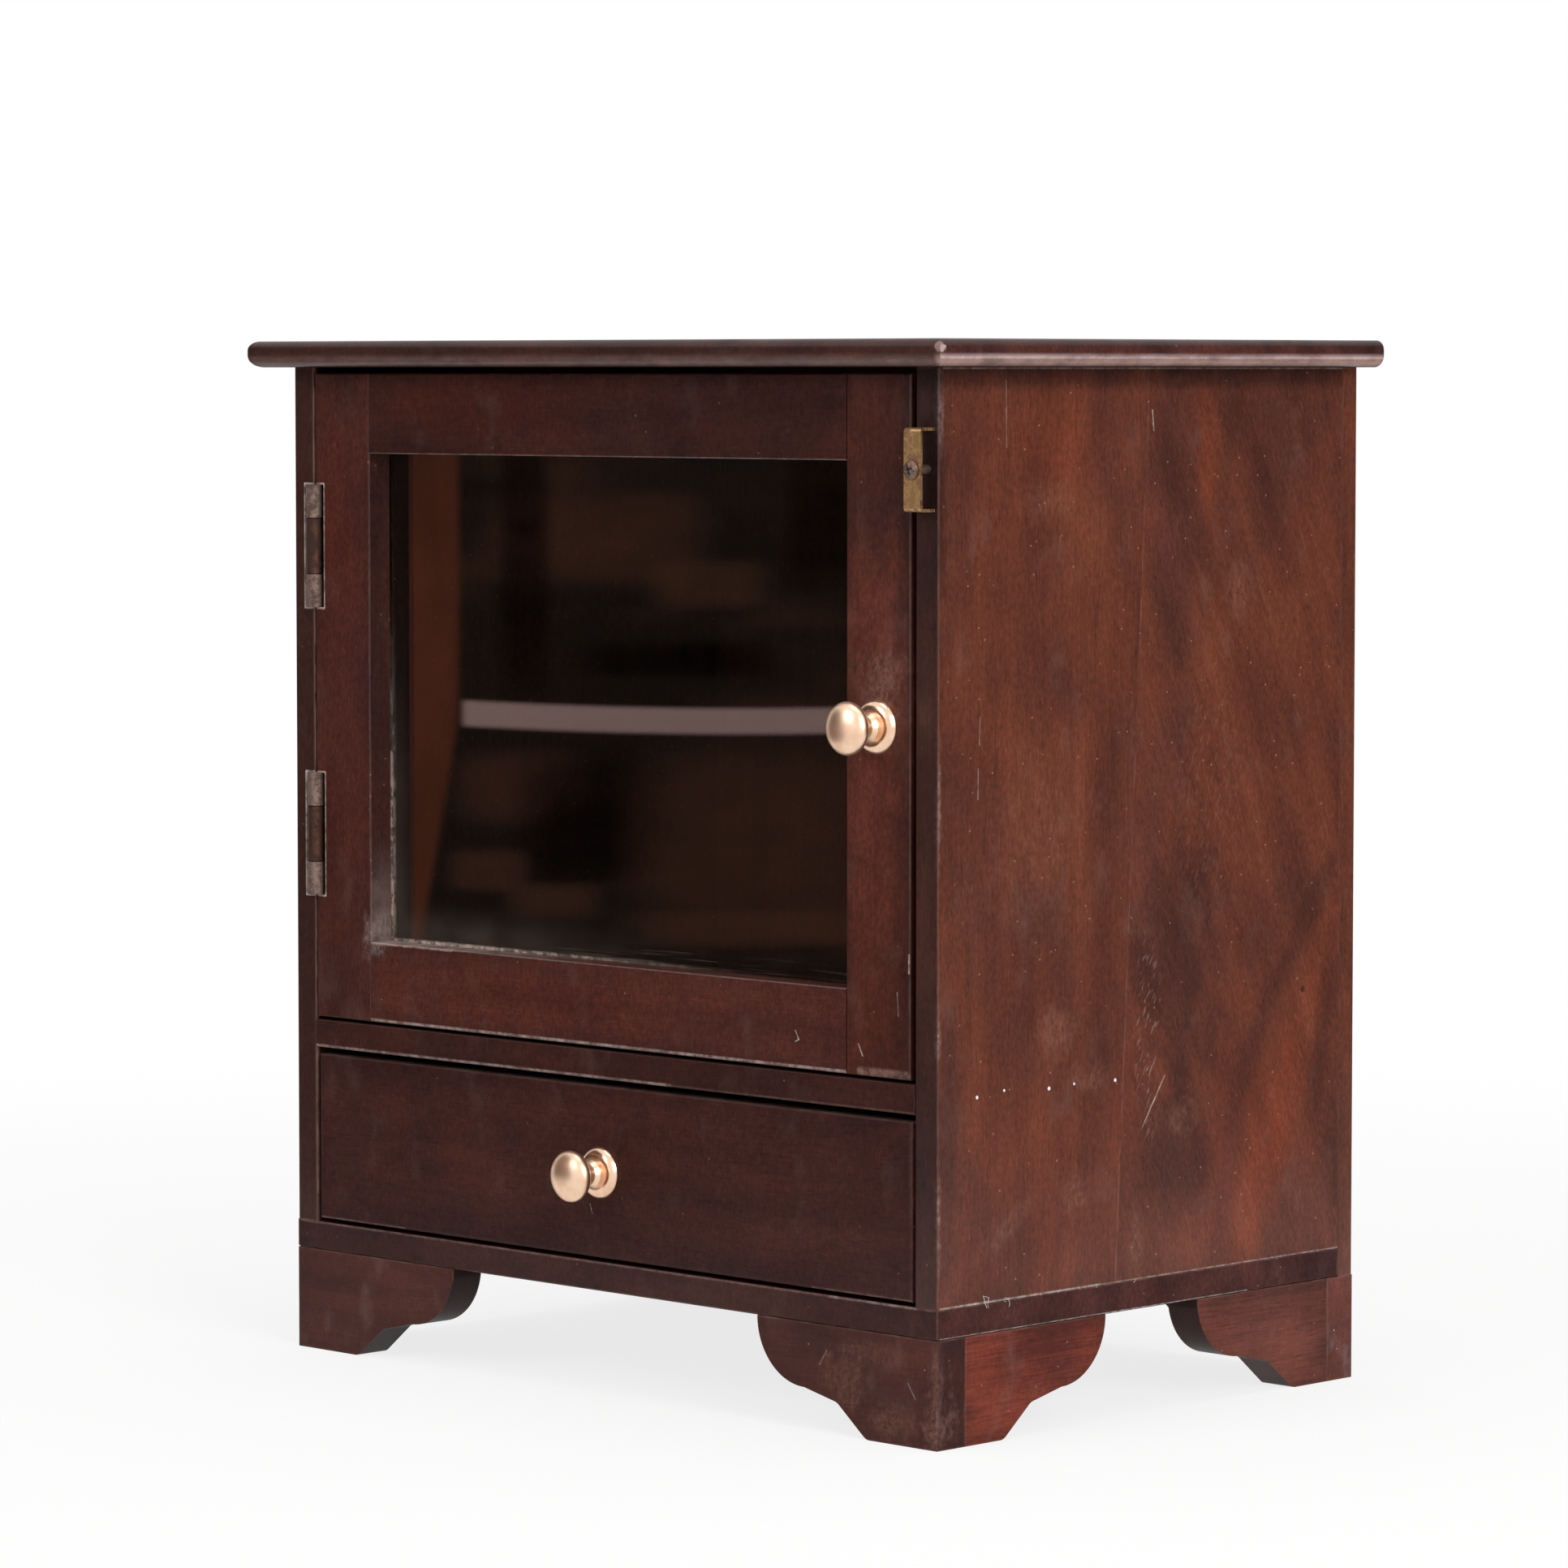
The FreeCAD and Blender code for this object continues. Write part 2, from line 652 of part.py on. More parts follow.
def catch():
    """A strip bent into a staple, which turns on a round-head screw. Upright, it frees the door."""
    body = doc.addObject("PartDesign::Body", "catch_strip")
    tip = "catch_clearance"
    face = "catch_stand - catch_sheet"
    sketch = outline(body, "catch_outline", "YZ_Plane", [
        (tip, "0"),
        ("catch_stand", "0"),
        ("catch_stand", "catch_length"),
        (tip, "catch_length"),
        (tip, "catch_length - catch_sheet"),
        (face, "catch_length - catch_sheet"),
        (face, "catch_sheet"),
        (tip, "catch_sheet"),
    ])
    strip = pad(body, "catch_pad", sketch, "catch_height")
    doc.recompute()
    bends = [name for side in ("under", "over") for name in faces_edges(strip.Shape, ("back", side))]
    bend = body.newObject("PartDesign::Fillet", "catch_bends")
    bend.Base = (strip, bends)
    bind(bend, {"Radius": "catch_bend"})
    place(body, "catch_screw_across + catch_height / 2", "front", "catch_up - catch_length / 2",
          (AXIS_Z, 180))
    at_face = ("catch_screw_across", "front - catch_stand - catch_clearance", "catch_up")
    hole = rod("catch_hole", "catch_screw_radius + screw_clearance", "catch_stand",
               ("catch_screw_across", "front", "catch_up"), TO_FRONT)
    keep("catch_bar", carve("catch_bar", body, [hole]))

    screw = doc.addObject("PartDesign::Body", "catch_screw")
    turned(screw, "catch_screw_turning", outline(screw, "catch_screw_outline", "XZ_Plane", [
        ("0", "0"),
        ("catch_screw_head", "0"),
        ("catch_screw_head", "catch_screw_rim",
         "(catch_screw_head * catch_screw_head / catch_screw_dome + catch_screw_dome) / 2"),
        ("0", "catch_screw_rim + catch_screw_dome"),
    ]))
    place(screw, *at_face, turn=TO_FRONT)
    shank = rod("catch_screw_shank", "catch_screw_radius",
                "catch_stand + catch_clearance + catch_screw_bite", at_face, TO_BACK)
    keep("catch_screw", join("catch_screw_whole", [screw, shank]))


# Drawer

def drawer():
    """A front lapped over the ends of the sides, a back between them and a bottom let into grooves."""
    bottom = block("drawer_bottom", ("-drawer_bottom_half", "drawer_bottom_front", "drawer_groove_low"),
                   ("2 * drawer_bottom_half", "drawer_back_end - drawer_bottom_front", "drawer_bottom_thick"))
    keep("drawer_bottom", bottom)
    body = doc.addObject("PartDesign::Body", "drawer_front_board")
    stock = body.newObject("PartDesign::AdditiveBox", "drawer_front_stock")
    bind(stock, {"Length": "2 * drawer_half", "Width": "drawer_front_thick",
                 "Height": "drawer_front_height"})
    doc.recompute()
    rounded = body.newObject("PartDesign::Fillet", "drawer_front_edges")
    outer = [faces_edges(stock.Shape, ("front", side))[0] for side in ("left", "right", "over", "under")]
    rounded.Base = (stock, outer)
    bind(rounded, {"Radius": "drawer_front_round"})
    place(body, "-drawer_half", "front", "drawer_front_bottom")
    cuts = [bottom, knob_set("drawer_knob", "drawer_front_thick", "0", "drawer_front_middle")]
    for side, start in (("left", "-drawer_half"), ("right", "drawer_inner_half")):
        cuts.append(block("drawer_lap_" + side, (start, "drawer_side_front", "drawer_front_bottom"),
                          ("drawer_board", "drawer_front_thick - drawer_lap", "drawer_front_height")))
        name = "drawer_side_" + side
        side_board = board(name + "_board", (start, "drawer_side_front", "drawer_floor"),
                           ("drawer_board", "drawer_back_end - drawer_side_front", "drawer_side_height"),
                           [("over", "left"), ("over", "right")])
        keep(name, carve(name, side_board, [bottom]))
    keep("drawer_front", carve("drawer_front", body, cuts))
    keep("drawer_back", board("drawer_back",
                              ("-drawer_inner_half", "drawer_back_front", "drawer_bottom_top"),
                              ("2 * drawer_inner_half", "drawer_board",
                               "drawer_floor + drawer_side_height - drawer_bottom_top"),
                              [("over", "front"), ("over", "back")]))


def check_and_write():
    """Stop on anything that failed to build, then write one file for each piece."""
    doc.recompute()
    for item in doc.Objects:
        if "Invalid" in item.State or "Error" in item.State:
            raise RuntimeError("%s did not build: %s" % (item.Name, item.State))
    for name, item in pieces.items():
        if item.Shape.isNull() or not item.Shape.isValid() or not item.Shape.Solids:
            raise RuntimeError("%s has no valid solid" % name)
    os.makedirs("parts", exist_ok=True)
    for name, item in pieces.items():
        item.Shape.exportStep("parts/%s.step" % name)
        print("%-28s %d solid(s) %10.1f mm3" % (name, len(item.Shape.Solids), item.Shape.Volume))
    print(len(pieces), "pieces")


side_panels()
flat_boards()
top_board()
feet()
hinges()
door()
glazing()
door_stop()
catch()
drawer()
check_and_write()
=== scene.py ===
# %% [markdown]
# This lesson finishes a small table-top display cabinet: a glazed door over one drawer, in dark lacquered
# wood, on scrolled bracket feet. The boards, hinges, knobs and catch come from the CAD model and stay where
# they are. Blender adds what a polisher and the years add: stain, grain, lacquer, tarnish, dust and wear.

# %% Load the cabinet
import math

import bmesh
import bpy
from mathutils import Matrix, Vector


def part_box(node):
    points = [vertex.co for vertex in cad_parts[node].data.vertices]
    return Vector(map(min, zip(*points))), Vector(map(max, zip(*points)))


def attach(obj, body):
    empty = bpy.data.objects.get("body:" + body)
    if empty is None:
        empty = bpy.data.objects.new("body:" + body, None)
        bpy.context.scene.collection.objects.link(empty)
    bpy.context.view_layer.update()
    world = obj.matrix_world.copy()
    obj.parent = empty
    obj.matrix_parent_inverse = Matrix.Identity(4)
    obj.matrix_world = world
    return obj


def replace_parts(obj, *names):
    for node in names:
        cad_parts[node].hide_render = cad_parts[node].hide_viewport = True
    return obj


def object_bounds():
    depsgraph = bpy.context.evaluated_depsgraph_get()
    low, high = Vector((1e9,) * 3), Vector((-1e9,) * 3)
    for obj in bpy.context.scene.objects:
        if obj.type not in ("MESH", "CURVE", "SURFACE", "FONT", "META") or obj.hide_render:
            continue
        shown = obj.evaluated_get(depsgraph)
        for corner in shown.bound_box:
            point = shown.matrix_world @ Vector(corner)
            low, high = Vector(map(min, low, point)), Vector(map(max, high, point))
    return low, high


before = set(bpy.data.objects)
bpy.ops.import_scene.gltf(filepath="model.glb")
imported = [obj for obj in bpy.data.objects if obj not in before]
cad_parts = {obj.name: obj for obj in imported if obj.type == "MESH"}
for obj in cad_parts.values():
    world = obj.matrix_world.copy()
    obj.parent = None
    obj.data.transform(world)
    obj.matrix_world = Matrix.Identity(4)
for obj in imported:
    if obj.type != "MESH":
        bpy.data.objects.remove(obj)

MM = 0.001
cad_low, cad_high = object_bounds()
print("cabinet", [round(side / MM, 1) for side in cad_high - cad_low], "mm")

# %% [markdown]
# A shader is a graph of nodes. It could be drawn by hand in the node editor, but a drawn graph is slow to
# read and to change. So one small class stands for a socket of the graph: arithmetic on it adds Math nodes,
# and its node method adds any other node. A finish, or a Geometry Nodes tool, is then a few lines of
# expressions.

# %% Node graphs as Python expressions
BUMP_STRENGTH = 0.3


class Shade:
    """One output socket of a node tree, or with no socket yet, the empty tree to start from."""

    def __init__(self, tree, socket=None):
        self.tree = tree
        self.socket = socket

    def node(self, kind, settings=None, sockets=None, out=0):
        """Adds a node: its settings first, then the values or links of its sockets."""
        made = self.tree.nodes.new(kind)
        for name, setting in (settings or {}).items():
            if name == "stops":
                fill_ramp(made.color_ramp, setting)
            else:
                setattr(made, name, setting)
        for name, value in (sockets or {}).items():
            if isinstance(value, Shade):
                self.tree.links.new(value.socket, made.inputs[name])
            else:
                made.inputs[name].default_value = value
        return Shade(self.tree, made.outputs[out] if len(made.outputs) else None)

    def maths(self, operation, *terms):
        return self.node("ShaderNodeMath", {"operation": operation}, dict(enumerate(terms)))

    def vectors(self, operation, *terms, out=0, **named):
        sockets = {**dict(enumerate(terms)), **named}
        return self.node("ShaderNodeVectorMath", {"operation": operation}, sockets, out)

    def point(self, **axes):
        """A vector from its X, Y and Z."""
        return self.node("ShaderNodeCombineXYZ", sockets=axes)

    def form(self, kind, **sockets):
        """A Geometry node. The names of its sockets are written with _ for a space."""
        named = {name.replace("_", " "): value for name, value in sockets.items()}
        return self.node("GeometryNode" + kind, sockets=named)

    def bump(self, depth):
        """The normals of a surface with this relief, whose depth is in millimetres."""
        sockets = {"Height": self, "Strength": BUMP_STRENGTH, "Distance": depth * MM}
        return self.node("ShaderNodeBump", sockets=sockets)

    def square(self):
        return self * self

    def root(self):
        return self.maths("SQRT", self)

    def __abs__(self):
        return self.maths("ABSOLUTE", self)

    def __add__(self, other):
        return self.maths("ADD", self, other)

    def __sub__(self, other):
        return self.maths("SUBTRACT", self, other)

    def __rsub__(self, other):
        return self.maths("SUBTRACT", other, self)

    def __mul__(self, other):
        return self.maths("MULTIPLY", self, other)

    __radd__ = __add__
    __rmul__ = __mul__


def fill_ramp(ramp, stops):
    """Gives a colour ramp the stops listed as (position, colour)."""
    while len(ramp.elements) < len(stops):
        ramp.elements.new(1.0)
    for element, (position, colour) in zip(ramp.elements, stops):
        element.position = position
        element.color = colour


print("node graphs ready")

# %% [markdown]
# A few more words complete the language of the finishes: a smooth step, one colour laid over another, noise
# of a given size. Colours are written as on a paint chart and turned into the linear light that shaders
# count in.

# %% Masks, mixes and colours
def smallest(one, other):
    return one.maths("MINIMUM", one, other)


def largest(one, other):
    return one.maths("MAXIMUM", one, other)


def ease(value, start, end):
    """0 at start, 1 at end, with a smooth step between them. start may be the larger one."""
    low, high = sorted((start, end))
    sockets = {"Value": value, "From Min": low, "From Max": high}
    step = value.node("ShaderNodeMapRange", {"interpolation_type": "SMOOTHSTEP"}, sockets)
    return step if start < end else 1 - step


def blend(mask, under, over, how="MIX"):
    """One colour laid over another where the mask is 1."""
    settings = {"data_type": "RGBA", "blend_type": how}
    return mask.node("ShaderNodeMix", settings, {0: mask, 6: under, 7: over}, out=2)


def darken(mask, colour, tint):
    """A colour multiplied by a tint where the mask is 1."""
    return blend(mask, colour, tint, "MULTIPLY")


def parts(vector):
    """The three coordinates of a vector."""
    split = vector.node("ShaderNodeSeparateXYZ", sockets={"Vector": vector}).socket.node
    return [Shade(vector.tree, socket) for socket in split.outputs]


def mapped(vector, size=(1, 1, 1), turn=(0, 0, 0), shift=(0, 0, 0)):
    """A vector measured in units of the given sizes, then turned, then shifted by some units."""
    sockets = {"Vector": vector, "Rotation": turn, "Scale": [1 / side for side in size], "Location": shift}
    return vector.node("ShaderNodeMapping", sockets=sockets)


def noise(vector, detail=2.0, roughness=0.5):
    sockets = {"Vector": vector, "Scale": 1.0, "Detail": detail, "Roughness": roughness}
    return vector.node("ShaderNodeTexNoise", sockets=sockets)


def paint(red, green, blue):
    """A colour given as on a paint chart, 0 to 255, as the linear light that shaders count in."""

    def linear(part):
        share = part / 255
        return share / 12.92 if share <= 0.04045 else ((share + 0.055) / 1.055) ** 2.4

    return (linear(red), linear(green), linear(blue), 1.0)


def new_finish(name):
    """An empty material and the Shade to start its nodes from."""
    material = bpy.data.materials.new(name)
    material.use_nodes = True
    material.node_tree.nodes.clear()
    return material, Shade(material.node_tree)


def show(ink, shader):
    ink.node("ShaderNodeOutputMaterial", sockets={"Surface": shader})


def surface(ink, sockets):
    """Ends a material in a Principled shader with these sockets."""
    show(ink, ink.node("ShaderNodeBsdfPrincipled", sockets=sockets))


def place_in_mm(ink):
    """Where a point of the piece lies, in millimetres of the cabinet's own frame."""
    metres = ink.node("ShaderNodeTexCoord", out="Object")
    return metres.vectors("SCALE", metres, Scale=1 / MM)


print("masks and colours ready")

# %% [markdown]
# The camera stands where the photographer stood: to the right of the front, at the height of the top board,
# with a long lens. A long lens from some way off keeps the upright edges nearly parallel. Its place and
# angle were worked out from the cabinet's edges in the picture, so the solids fall on their outlines.

# %% Camera
PICTURE_SIDE = 1932
FOCAL_PIXELS = 7651.5
SENSOR_MM = 36
CAMERA_PLACE = (1.8154, -1.8539, 0.4178)
PAN = math.radians(44.532)
TILT_DOWN = math.radians(3.812)

camera = bpy.data.objects.new("camera", bpy.data.cameras.new("camera"))
camera.data.sensor_width = SENSOR_MM
camera.data.lens = FOCAL_PIXELS / PICTURE_SIDE * SENSOR_MM
camera.location = CAMERA_PLACE
camera.rotation_euler = (math.pi / 2 - TILT_DOWN, 0, PAN)
scene = bpy.context.scene
scene.collection.objects.link(camera)
scene.camera = camera
scene.view_settings.view_transform = "Standard"
print("lens", round(camera.data.lens, 1), "mm")

# %% [markdown]
# The studio is a white sweep. It could be lit until it looks white, but that would wash out the cabinet
# too. So the world is white only where the camera, a reflection or a pane looks at it, and gives a quieter,
# even light to everything else. The floor does the same, but near the cabinet it is partly a real matt
# surface, so a soft shadow stays under the feet.

# %% White sweep
WHITE = (1, 1, 1, 1)
AMBIENT = 0.42
FLOOR_HALF = 20.0
FLOOR_COLOUR = paint(244, 243, 242)
FLOOR_WHITE = 0.8
SHADOW_NEAR, SHADOW_FAR = 0.35, 1.3
LOOKING = ("Is Camera Ray", "Is Glossy Ray", "Is Transmission Ray")


def seen_directly(ink):
    """1 on rays that look at the backdrop, straight or by a mirror or a pane; 0 on rays that carry light."""
    path = ink.node("ShaderNodeLightPath").socket.node
    camera_ray, glossy_ray, pane_ray = (Shade(ink.tree, path.outputs[name]) for name in LOOKING)
    return largest(largest(camera_ray, glossy_ray), pane_ray)


def mix_shaders(mask, under, over):
    return mask.node("ShaderNodeMixShader", sockets={0: mask, 1: under, 2: over})


def white_world():
    world = bpy.data.worlds.new("white_sweep")
    world.use_nodes = True
    world.node_tree.nodes.clear()
    ink = Shade(world.node_tree)
    light, white = (ink.node("ShaderNodeBackground", sockets={"Color": WHITE, "Strength": strength})
                    for strength in (AMBIENT, 1.0))
    shown = mix_shaders(seen_directly(ink), light, white)
    ink.node("ShaderNodeOutputWorld", sockets={"Surface": shown})
    return world


def flat_card(name, width, height, material):
    """A flat upright card, centred on the origin and facing the front, for the stage."""
    mesh = bpy.data.meshes.new(name)
    half, top = width / 2, height / 2
    corners = [(-half, 0, -top), (half, 0, -top), (half, 0, top), (-half, 0, top)]
    mesh.from_pydata(corners, [], [(0, 1, 2, 3)])
    mesh.materials.append(material)
    card = bpy.data.objects.new(name, mesh)
    scene.collection.objects.link(card)
    return card


def white_floor():
    material, ink = new_finish("white_floor")
    x, y, _ = parts(ink.node("ShaderNodeTexCoord", out="Object"))
    away = (x.square() + y.square()).root()
    white = ease(away, SHADOW_NEAR, SHADOW_FAR) * (1 - FLOOR_WHITE) + FLOOR_WHITE
    matt = ink.node("ShaderNodeBsdfDiffuse", sockets={"Color": FLOOR_COLOUR})
    glow = ink.node("ShaderNodeEmission", sockets={"Color": WHITE, "Strength": 1.0})
    show(ink, mix_shaders(white * seen_directly(ink), matt, glow))
    floor = flat_card("floor", 2 * FLOOR_HALF, 2 * FLOOR_HALF, material)
    floor.data.transform(Matrix.Rotation(-math.pi / 2, 4, "X"))


scene.world = white_world()
white_floor()
print("white sweep ready")

# %% [markdown]
# Soft boxes light the cabinet: the main one stands to the right, so the side board is brighter than the
# front, and a wide one hangs overhead. A lamp's strength is written as the share of full white that it
# gives to a surface facing it at the cabinet, which keeps the light at a plain level. Point lamps would
# draw hard shadows and small sharp lights in the lacquer, and wide ones are soft in both.

# %% Soft boxes
CABINET_MIDDLE = (cad_low + cad_high) / 2


def soft_box(name, place, side, share):
    """A square lamp aimed at the cabinet. The camera doesn't see it, reflections do."""
    reach = Vector(place) - CABINET_MIDDLE
    lamp = bpy.data.objects.new(name, bpy.data.lights.new(name, "AREA"))
    lamp.data.size = side
    lamp.data.energy = share * math.pi ** 2 * reach.length_squared
    lamp.location = place
    lamp.rotation_euler = reach.to_track_quat("Z", "Y").to_euler()
    lamp.visible_camera = False
    scene.collection.objects.link(lamp)


soft_box("right_soft_box", (2.3, -0.75, 1.25), 1.3, 0.5)
soft_box("front_soft_box", (-0.5, -2.6, 1.7), 1.2, 0.22)
soft_box("overhead_soft_box", (0.1, 0.1, 2.6), 1.6, 0.42)
print("soft boxes ready")

# %% [markdown]
# Dark polished wood and glass show what stands round them, so a photographer puts dark cards beside them.
# One card is what the front and the pane mirror towards the camera, the other is what the side board
# mirrors. The first is a dim room with soft shapes, a red post and one pale shelf, which draws the level
# band across the glass. A picture could stand there, but shapes written as numbers stay soft and need no
# file. Only mirrors and panes see the cards.

# %% Dark cards for the reflections
ROOM_DARK = paint(64, 56, 50)
ROOM_BROWN = paint(148, 98, 80)
ROOM_TAN = paint(164, 112, 86)
ROOM_BLACK = paint(16, 15, 14)
ROOM_GREY = paint(72, 64, 60)
ROOM_POST = (0.66, 0.18, 0.095, 1)
POST_LEFT, POST_RIGHT, POST_LEAN = -0.457, -0.437, 0.12
SHELF_PALE = (1.45, 0.93, 0.87, 1)
SHELF_LEVEL, SHELF_HALF = 0.2497, 0.0062
SHELF_SLOPE, SHELF_BOW = -0.0834, 0.413
ASLANT = math.radians(-45)
# Soft shapes in the room: middle, half width and height, colour and strength
ROOM_SHAPES = [
    ((-0.387, 0.337), (0.028, 0.019), ROOM_BROWN, 0.8),
    ((-0.350, 0.313), (0.016, 0.009), ROOM_TAN, 0.6),
    ((-0.414, 0.325), (0.007, 0.056), ROOM_BLACK, 0.8),
    ((-0.358, 0.366), (0.026, 0.007), ROOM_GREY, 0.8),
    ((-0.311, 0.345), (0.010, 0.026), ROOM_BLACK, 0.9),
    ((-0.361, 0.276), (0.026, 0.007), ROOM_BLACK, 0.9),
    ((-0.415, 0.213), (0.018, 0.014), ROOM_BROWN, 0.7),
    ((-0.390, 0.196), (0.020, 0.026), ROOM_BLACK, 0.9),
    ((-0.333, 0.187), (0.034, 0.036), ROOM_BROWN, 0.7),
    ((-0.427, 0.172), (0.011, 0.008), ROOM_BROWN, 0.8),
    ((-0.404, 0.157), (0.013, 0.007), ROOM_TAN, 0.55),
    ((-0.334, 0.143), (0.034, 0.007), ROOM_TAN, 0.6),
]


def dim_room(name, lit, patch, rise):
    """A card's colour, a dim room with some lighter patches, and the place on the card."""
    material, ink = new_finish(name)
    place = ink.node("ShaderNodeTexCoord", out="Object")
    patches = ease(noise(mapped(place, patch), detail=2.0), *rise)
    return material, place, blend(patches, ROOM_DARK, lit)


def soft_shape(place, middle, half):
    """1 inside a rounded shape of the room, with an edge that is out of focus."""
    shift = (-middle[0] / half[0], 0, -middle[1] / half[1])
    across, _, up = parts(mapped(place, (half[0], 1, half[1]), shift=shift))
    return ease((across.square().square() + up.square().square()).root(), 2.6, 0.1)


def glowing(ink, colour):
    show(ink, ink.node("ShaderNodeEmission", sockets={"Color": colour}))


def room_with_shelf():
    """What the pane mirrors: the dim room, a red post at its left and one pale, slightly bowed shelf."""
    material, place, colour = dim_room("dim_room_front", ROOM_BROWN, (0.13, 0.13, 0.034), (0.48, 0.88))
    x, _, z = parts(place)
    uneven = noise(mapped(place, (0.03, 0.03, 0.012)), detail=3.0) * 0.8 + 0.5
    for middle, half, shade, strength in ROOM_SHAPES:
        colour = blend(soft_shape(place, middle, half) * uneven * strength, colour, shade)
    right_edge = x - smallest(z - SHELF_LEVEL, 0.0) * POST_LEAN
    post = ease(x, POST_LEFT, POST_LEFT + 0.003) * ease(right_edge, POST_RIGHT + 0.002, POST_RIGHT - 0.002)
    worn_post = noise(mapped(place, (0.02, 0.02, 0.06)), detail=3.0) * 0.8 + 0.2
    colour = blend(post * worn_post, colour, ROOM_POST)
    along = x - POST_RIGHT
    level = along * SHELF_SLOPE + along.square() * SHELF_BOW + SHELF_LEVEL
    shelf = ease(abs(z - level), SHELF_HALF * 1.3, SHELF_HALF * 0.7) * ease(along, 0.0, 0.003)
    glowing(place, blend(shelf, colour, SHELF_PALE))
    return material


def plain_dim_room():
    material, place, colour = dim_room("dim_room_side", ROOM_GREY, (0.2, 0.2, 0.2), (0.45, 0.75))
    glowing(place, colour)
    return material


def stand(card, place):
    """Puts a card in its place, aslant before the corner, where only mirrors and panes see it."""
    card.data.transform(Matrix.Translation(place) @ Matrix.Rotation(ASLANT, 4, "Z"))
    for sight in ("visible_camera", "visible_diffuse", "visible_shadow"):
        setattr(card, sight, False)


stand(flat_card("front_card", 0.62, 0.66, room_with_shelf()), (-0.38, -0.47, 0.33))
stand(flat_card("side_card", 1.3, 0.8, plain_dim_room()), (0.65, 0.55, 0.39))
print("cards ready")

# %% [markdown]
# Wood is the main finish. Seen close, it has layers: broad bands of darker and redder growth, fine streaks
# along the grain, short open pores and cloudy patches in the old stain. A picture of wood could be wrapped
# round each board, but it would break at the edges. Noise that fills space runs through a board as real
# grain does. It is stretched along X, after the coordinates are turned until the grain runs along X.

# %% Grain of the wood
GRAIN_TURN = {"x": (0, 0, 0), "y": (0, 0, -math.pi / 2), "z": (0, math.pi / 2, 0)}
# Every board is cut from another place in the noise, this far from the last one.
NEXT_BOARD = Vector((137, 61, 29))
# How far the grain sways aside, in millimetres
SWAY_ASIDE, SWAY_DEEP = 22, 14
# Sizes of the layers in millimetres, along the grain and across it
WANDER, BANDS, STREAKS = (170, 60, 60), (320, 15, 15), (45, 1.1, 1.1)
PORES, FLECKS = (9, 0.7, 0.7), (5, 0.8, 0.8)
SIDE_JOINT_DEEP, SIDE_JOINT_UP, SIDE_JOINT_SLOPE = 0.4, 275.0, 0.052


def grain_place(place, grain, seed, lean=0.0):
    """The place with the grain laid along X. A lean tips an upright grain towards the back."""
    turn = Vector(GRAIN_TURN[grain]) + Vector((lean, 0, 0))
    return mapped(place, turn=turn, shift=NEXT_BOARD * seed)


def growth(grain):
    """Broad bands, fine streaks, open pores and bright flecks, each a number about 0.5."""
    wander = noise(mapped(grain, WANDER), detail=1.0) - 0.5
    bent = grain.vectors("ADD", grain, grain.point(Y=wander * SWAY_ASIDE, Z=wander * SWAY_DEEP))
    bands = noise(mapped(bent, BANDS), detail=2.0)
    streaks = noise(mapped(bent, STREAKS), detail=3.0, roughness=0.6)
    pores = noise(mapped(grain, PORES), detail=1.0)
    flecks = noise(mapped(grain, FLECKS, shift=(50, 0, 0)), detail=2.0)
    return bands, streaks, pores, flecks


def behind_joint(place):
    """How far a point lies behind the glued joint of a side panel's two boards, which runs aslant."""
    _, deep, up = parts(place)
    return deep - (up - SIDE_JOINT_UP) * SIDE_JOINT_SLOPE - SIDE_JOINT_DEEP


def two_boards(place, seed, rear_lean):
    """Grain for a side panel glued up from two boards: the rear one has its own, leaning grain."""
    front = grain_place(place, "z", seed)
    rear = grain_place(place, "z", seed + 0.5, rear_lean)
    sockets = {0: ease(behind_joint(place), -0.3, 0.3), 4: front, 5: rear}
    return place.node("ShaderNodeMix", {"data_type": "VECTOR"}, sockets, out=1)


print("grain ready")

# %% [markdown]
# Wear follows the shape of a board: its arrises are rubbed pale, grime gathers beside them, sawn ends drank
# more stain. Blender can look for edges by itself, but the CAD meshes are loose triangles, which would all
# count as edges. Most boards are plain boxes, so the box of a board's CAD node gives the way to its nearest
# edge, and tells its faces apart.

# %% Edges, faces and specks
AXIS = {"x": 0, "y": 1, "z": 2}
SPECK_GRID = (7, 7, 7)


def node_box(node):
    """The corners of a CAD node in millimetres."""
    low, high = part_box(node)
    return low / MM, high / MM


def way_to_edge(place, low, high):
    """On the surface of a board, the distance to the nearest of its edges."""
    ways = [smallest(along - low[axis], high[axis] - along) for axis, along in enumerate(parts(place))]
    # On a face one of the three ways is nothing, so the middle one of the three leads to the edge.
    return largest(smallest(ways[0], ways[1]), smallest(largest(ways[0], ways[1]), ways[2]))


def on_face(place, low, high, axis, end):
    """1 on one face of a board's box: an axis, and its low or high end."""
    level = (low if end == "low" else high)[AXIS[axis]]
    return ease(abs(parts(place)[AXIS[axis]] - level), 0.4, 0.2)


def on_both_faces(place, low, high, axis):
    return largest(on_face(place, low, high, axis, "low"), on_face(place, low, high, axis, "high"))


def dust_specks(place, seed):
    """Pale specks of dust, one in about every other cell of a loose grid."""
    grid = mapped(place, SPECK_GRID, shift=(seed, 0, 0))
    cells = place.node("ShaderNodeTexVoronoi", sockets={"Vector": grid, "Scale": 1.0}, out="Distance")
    lot, _, _ = parts(Shade(place.tree, cells.socket.node.outputs["Color"]))
    return ease(cells, 0.085, 0.03) * ease(lot, 0.5, 1.0)


print("edges and specks ready")
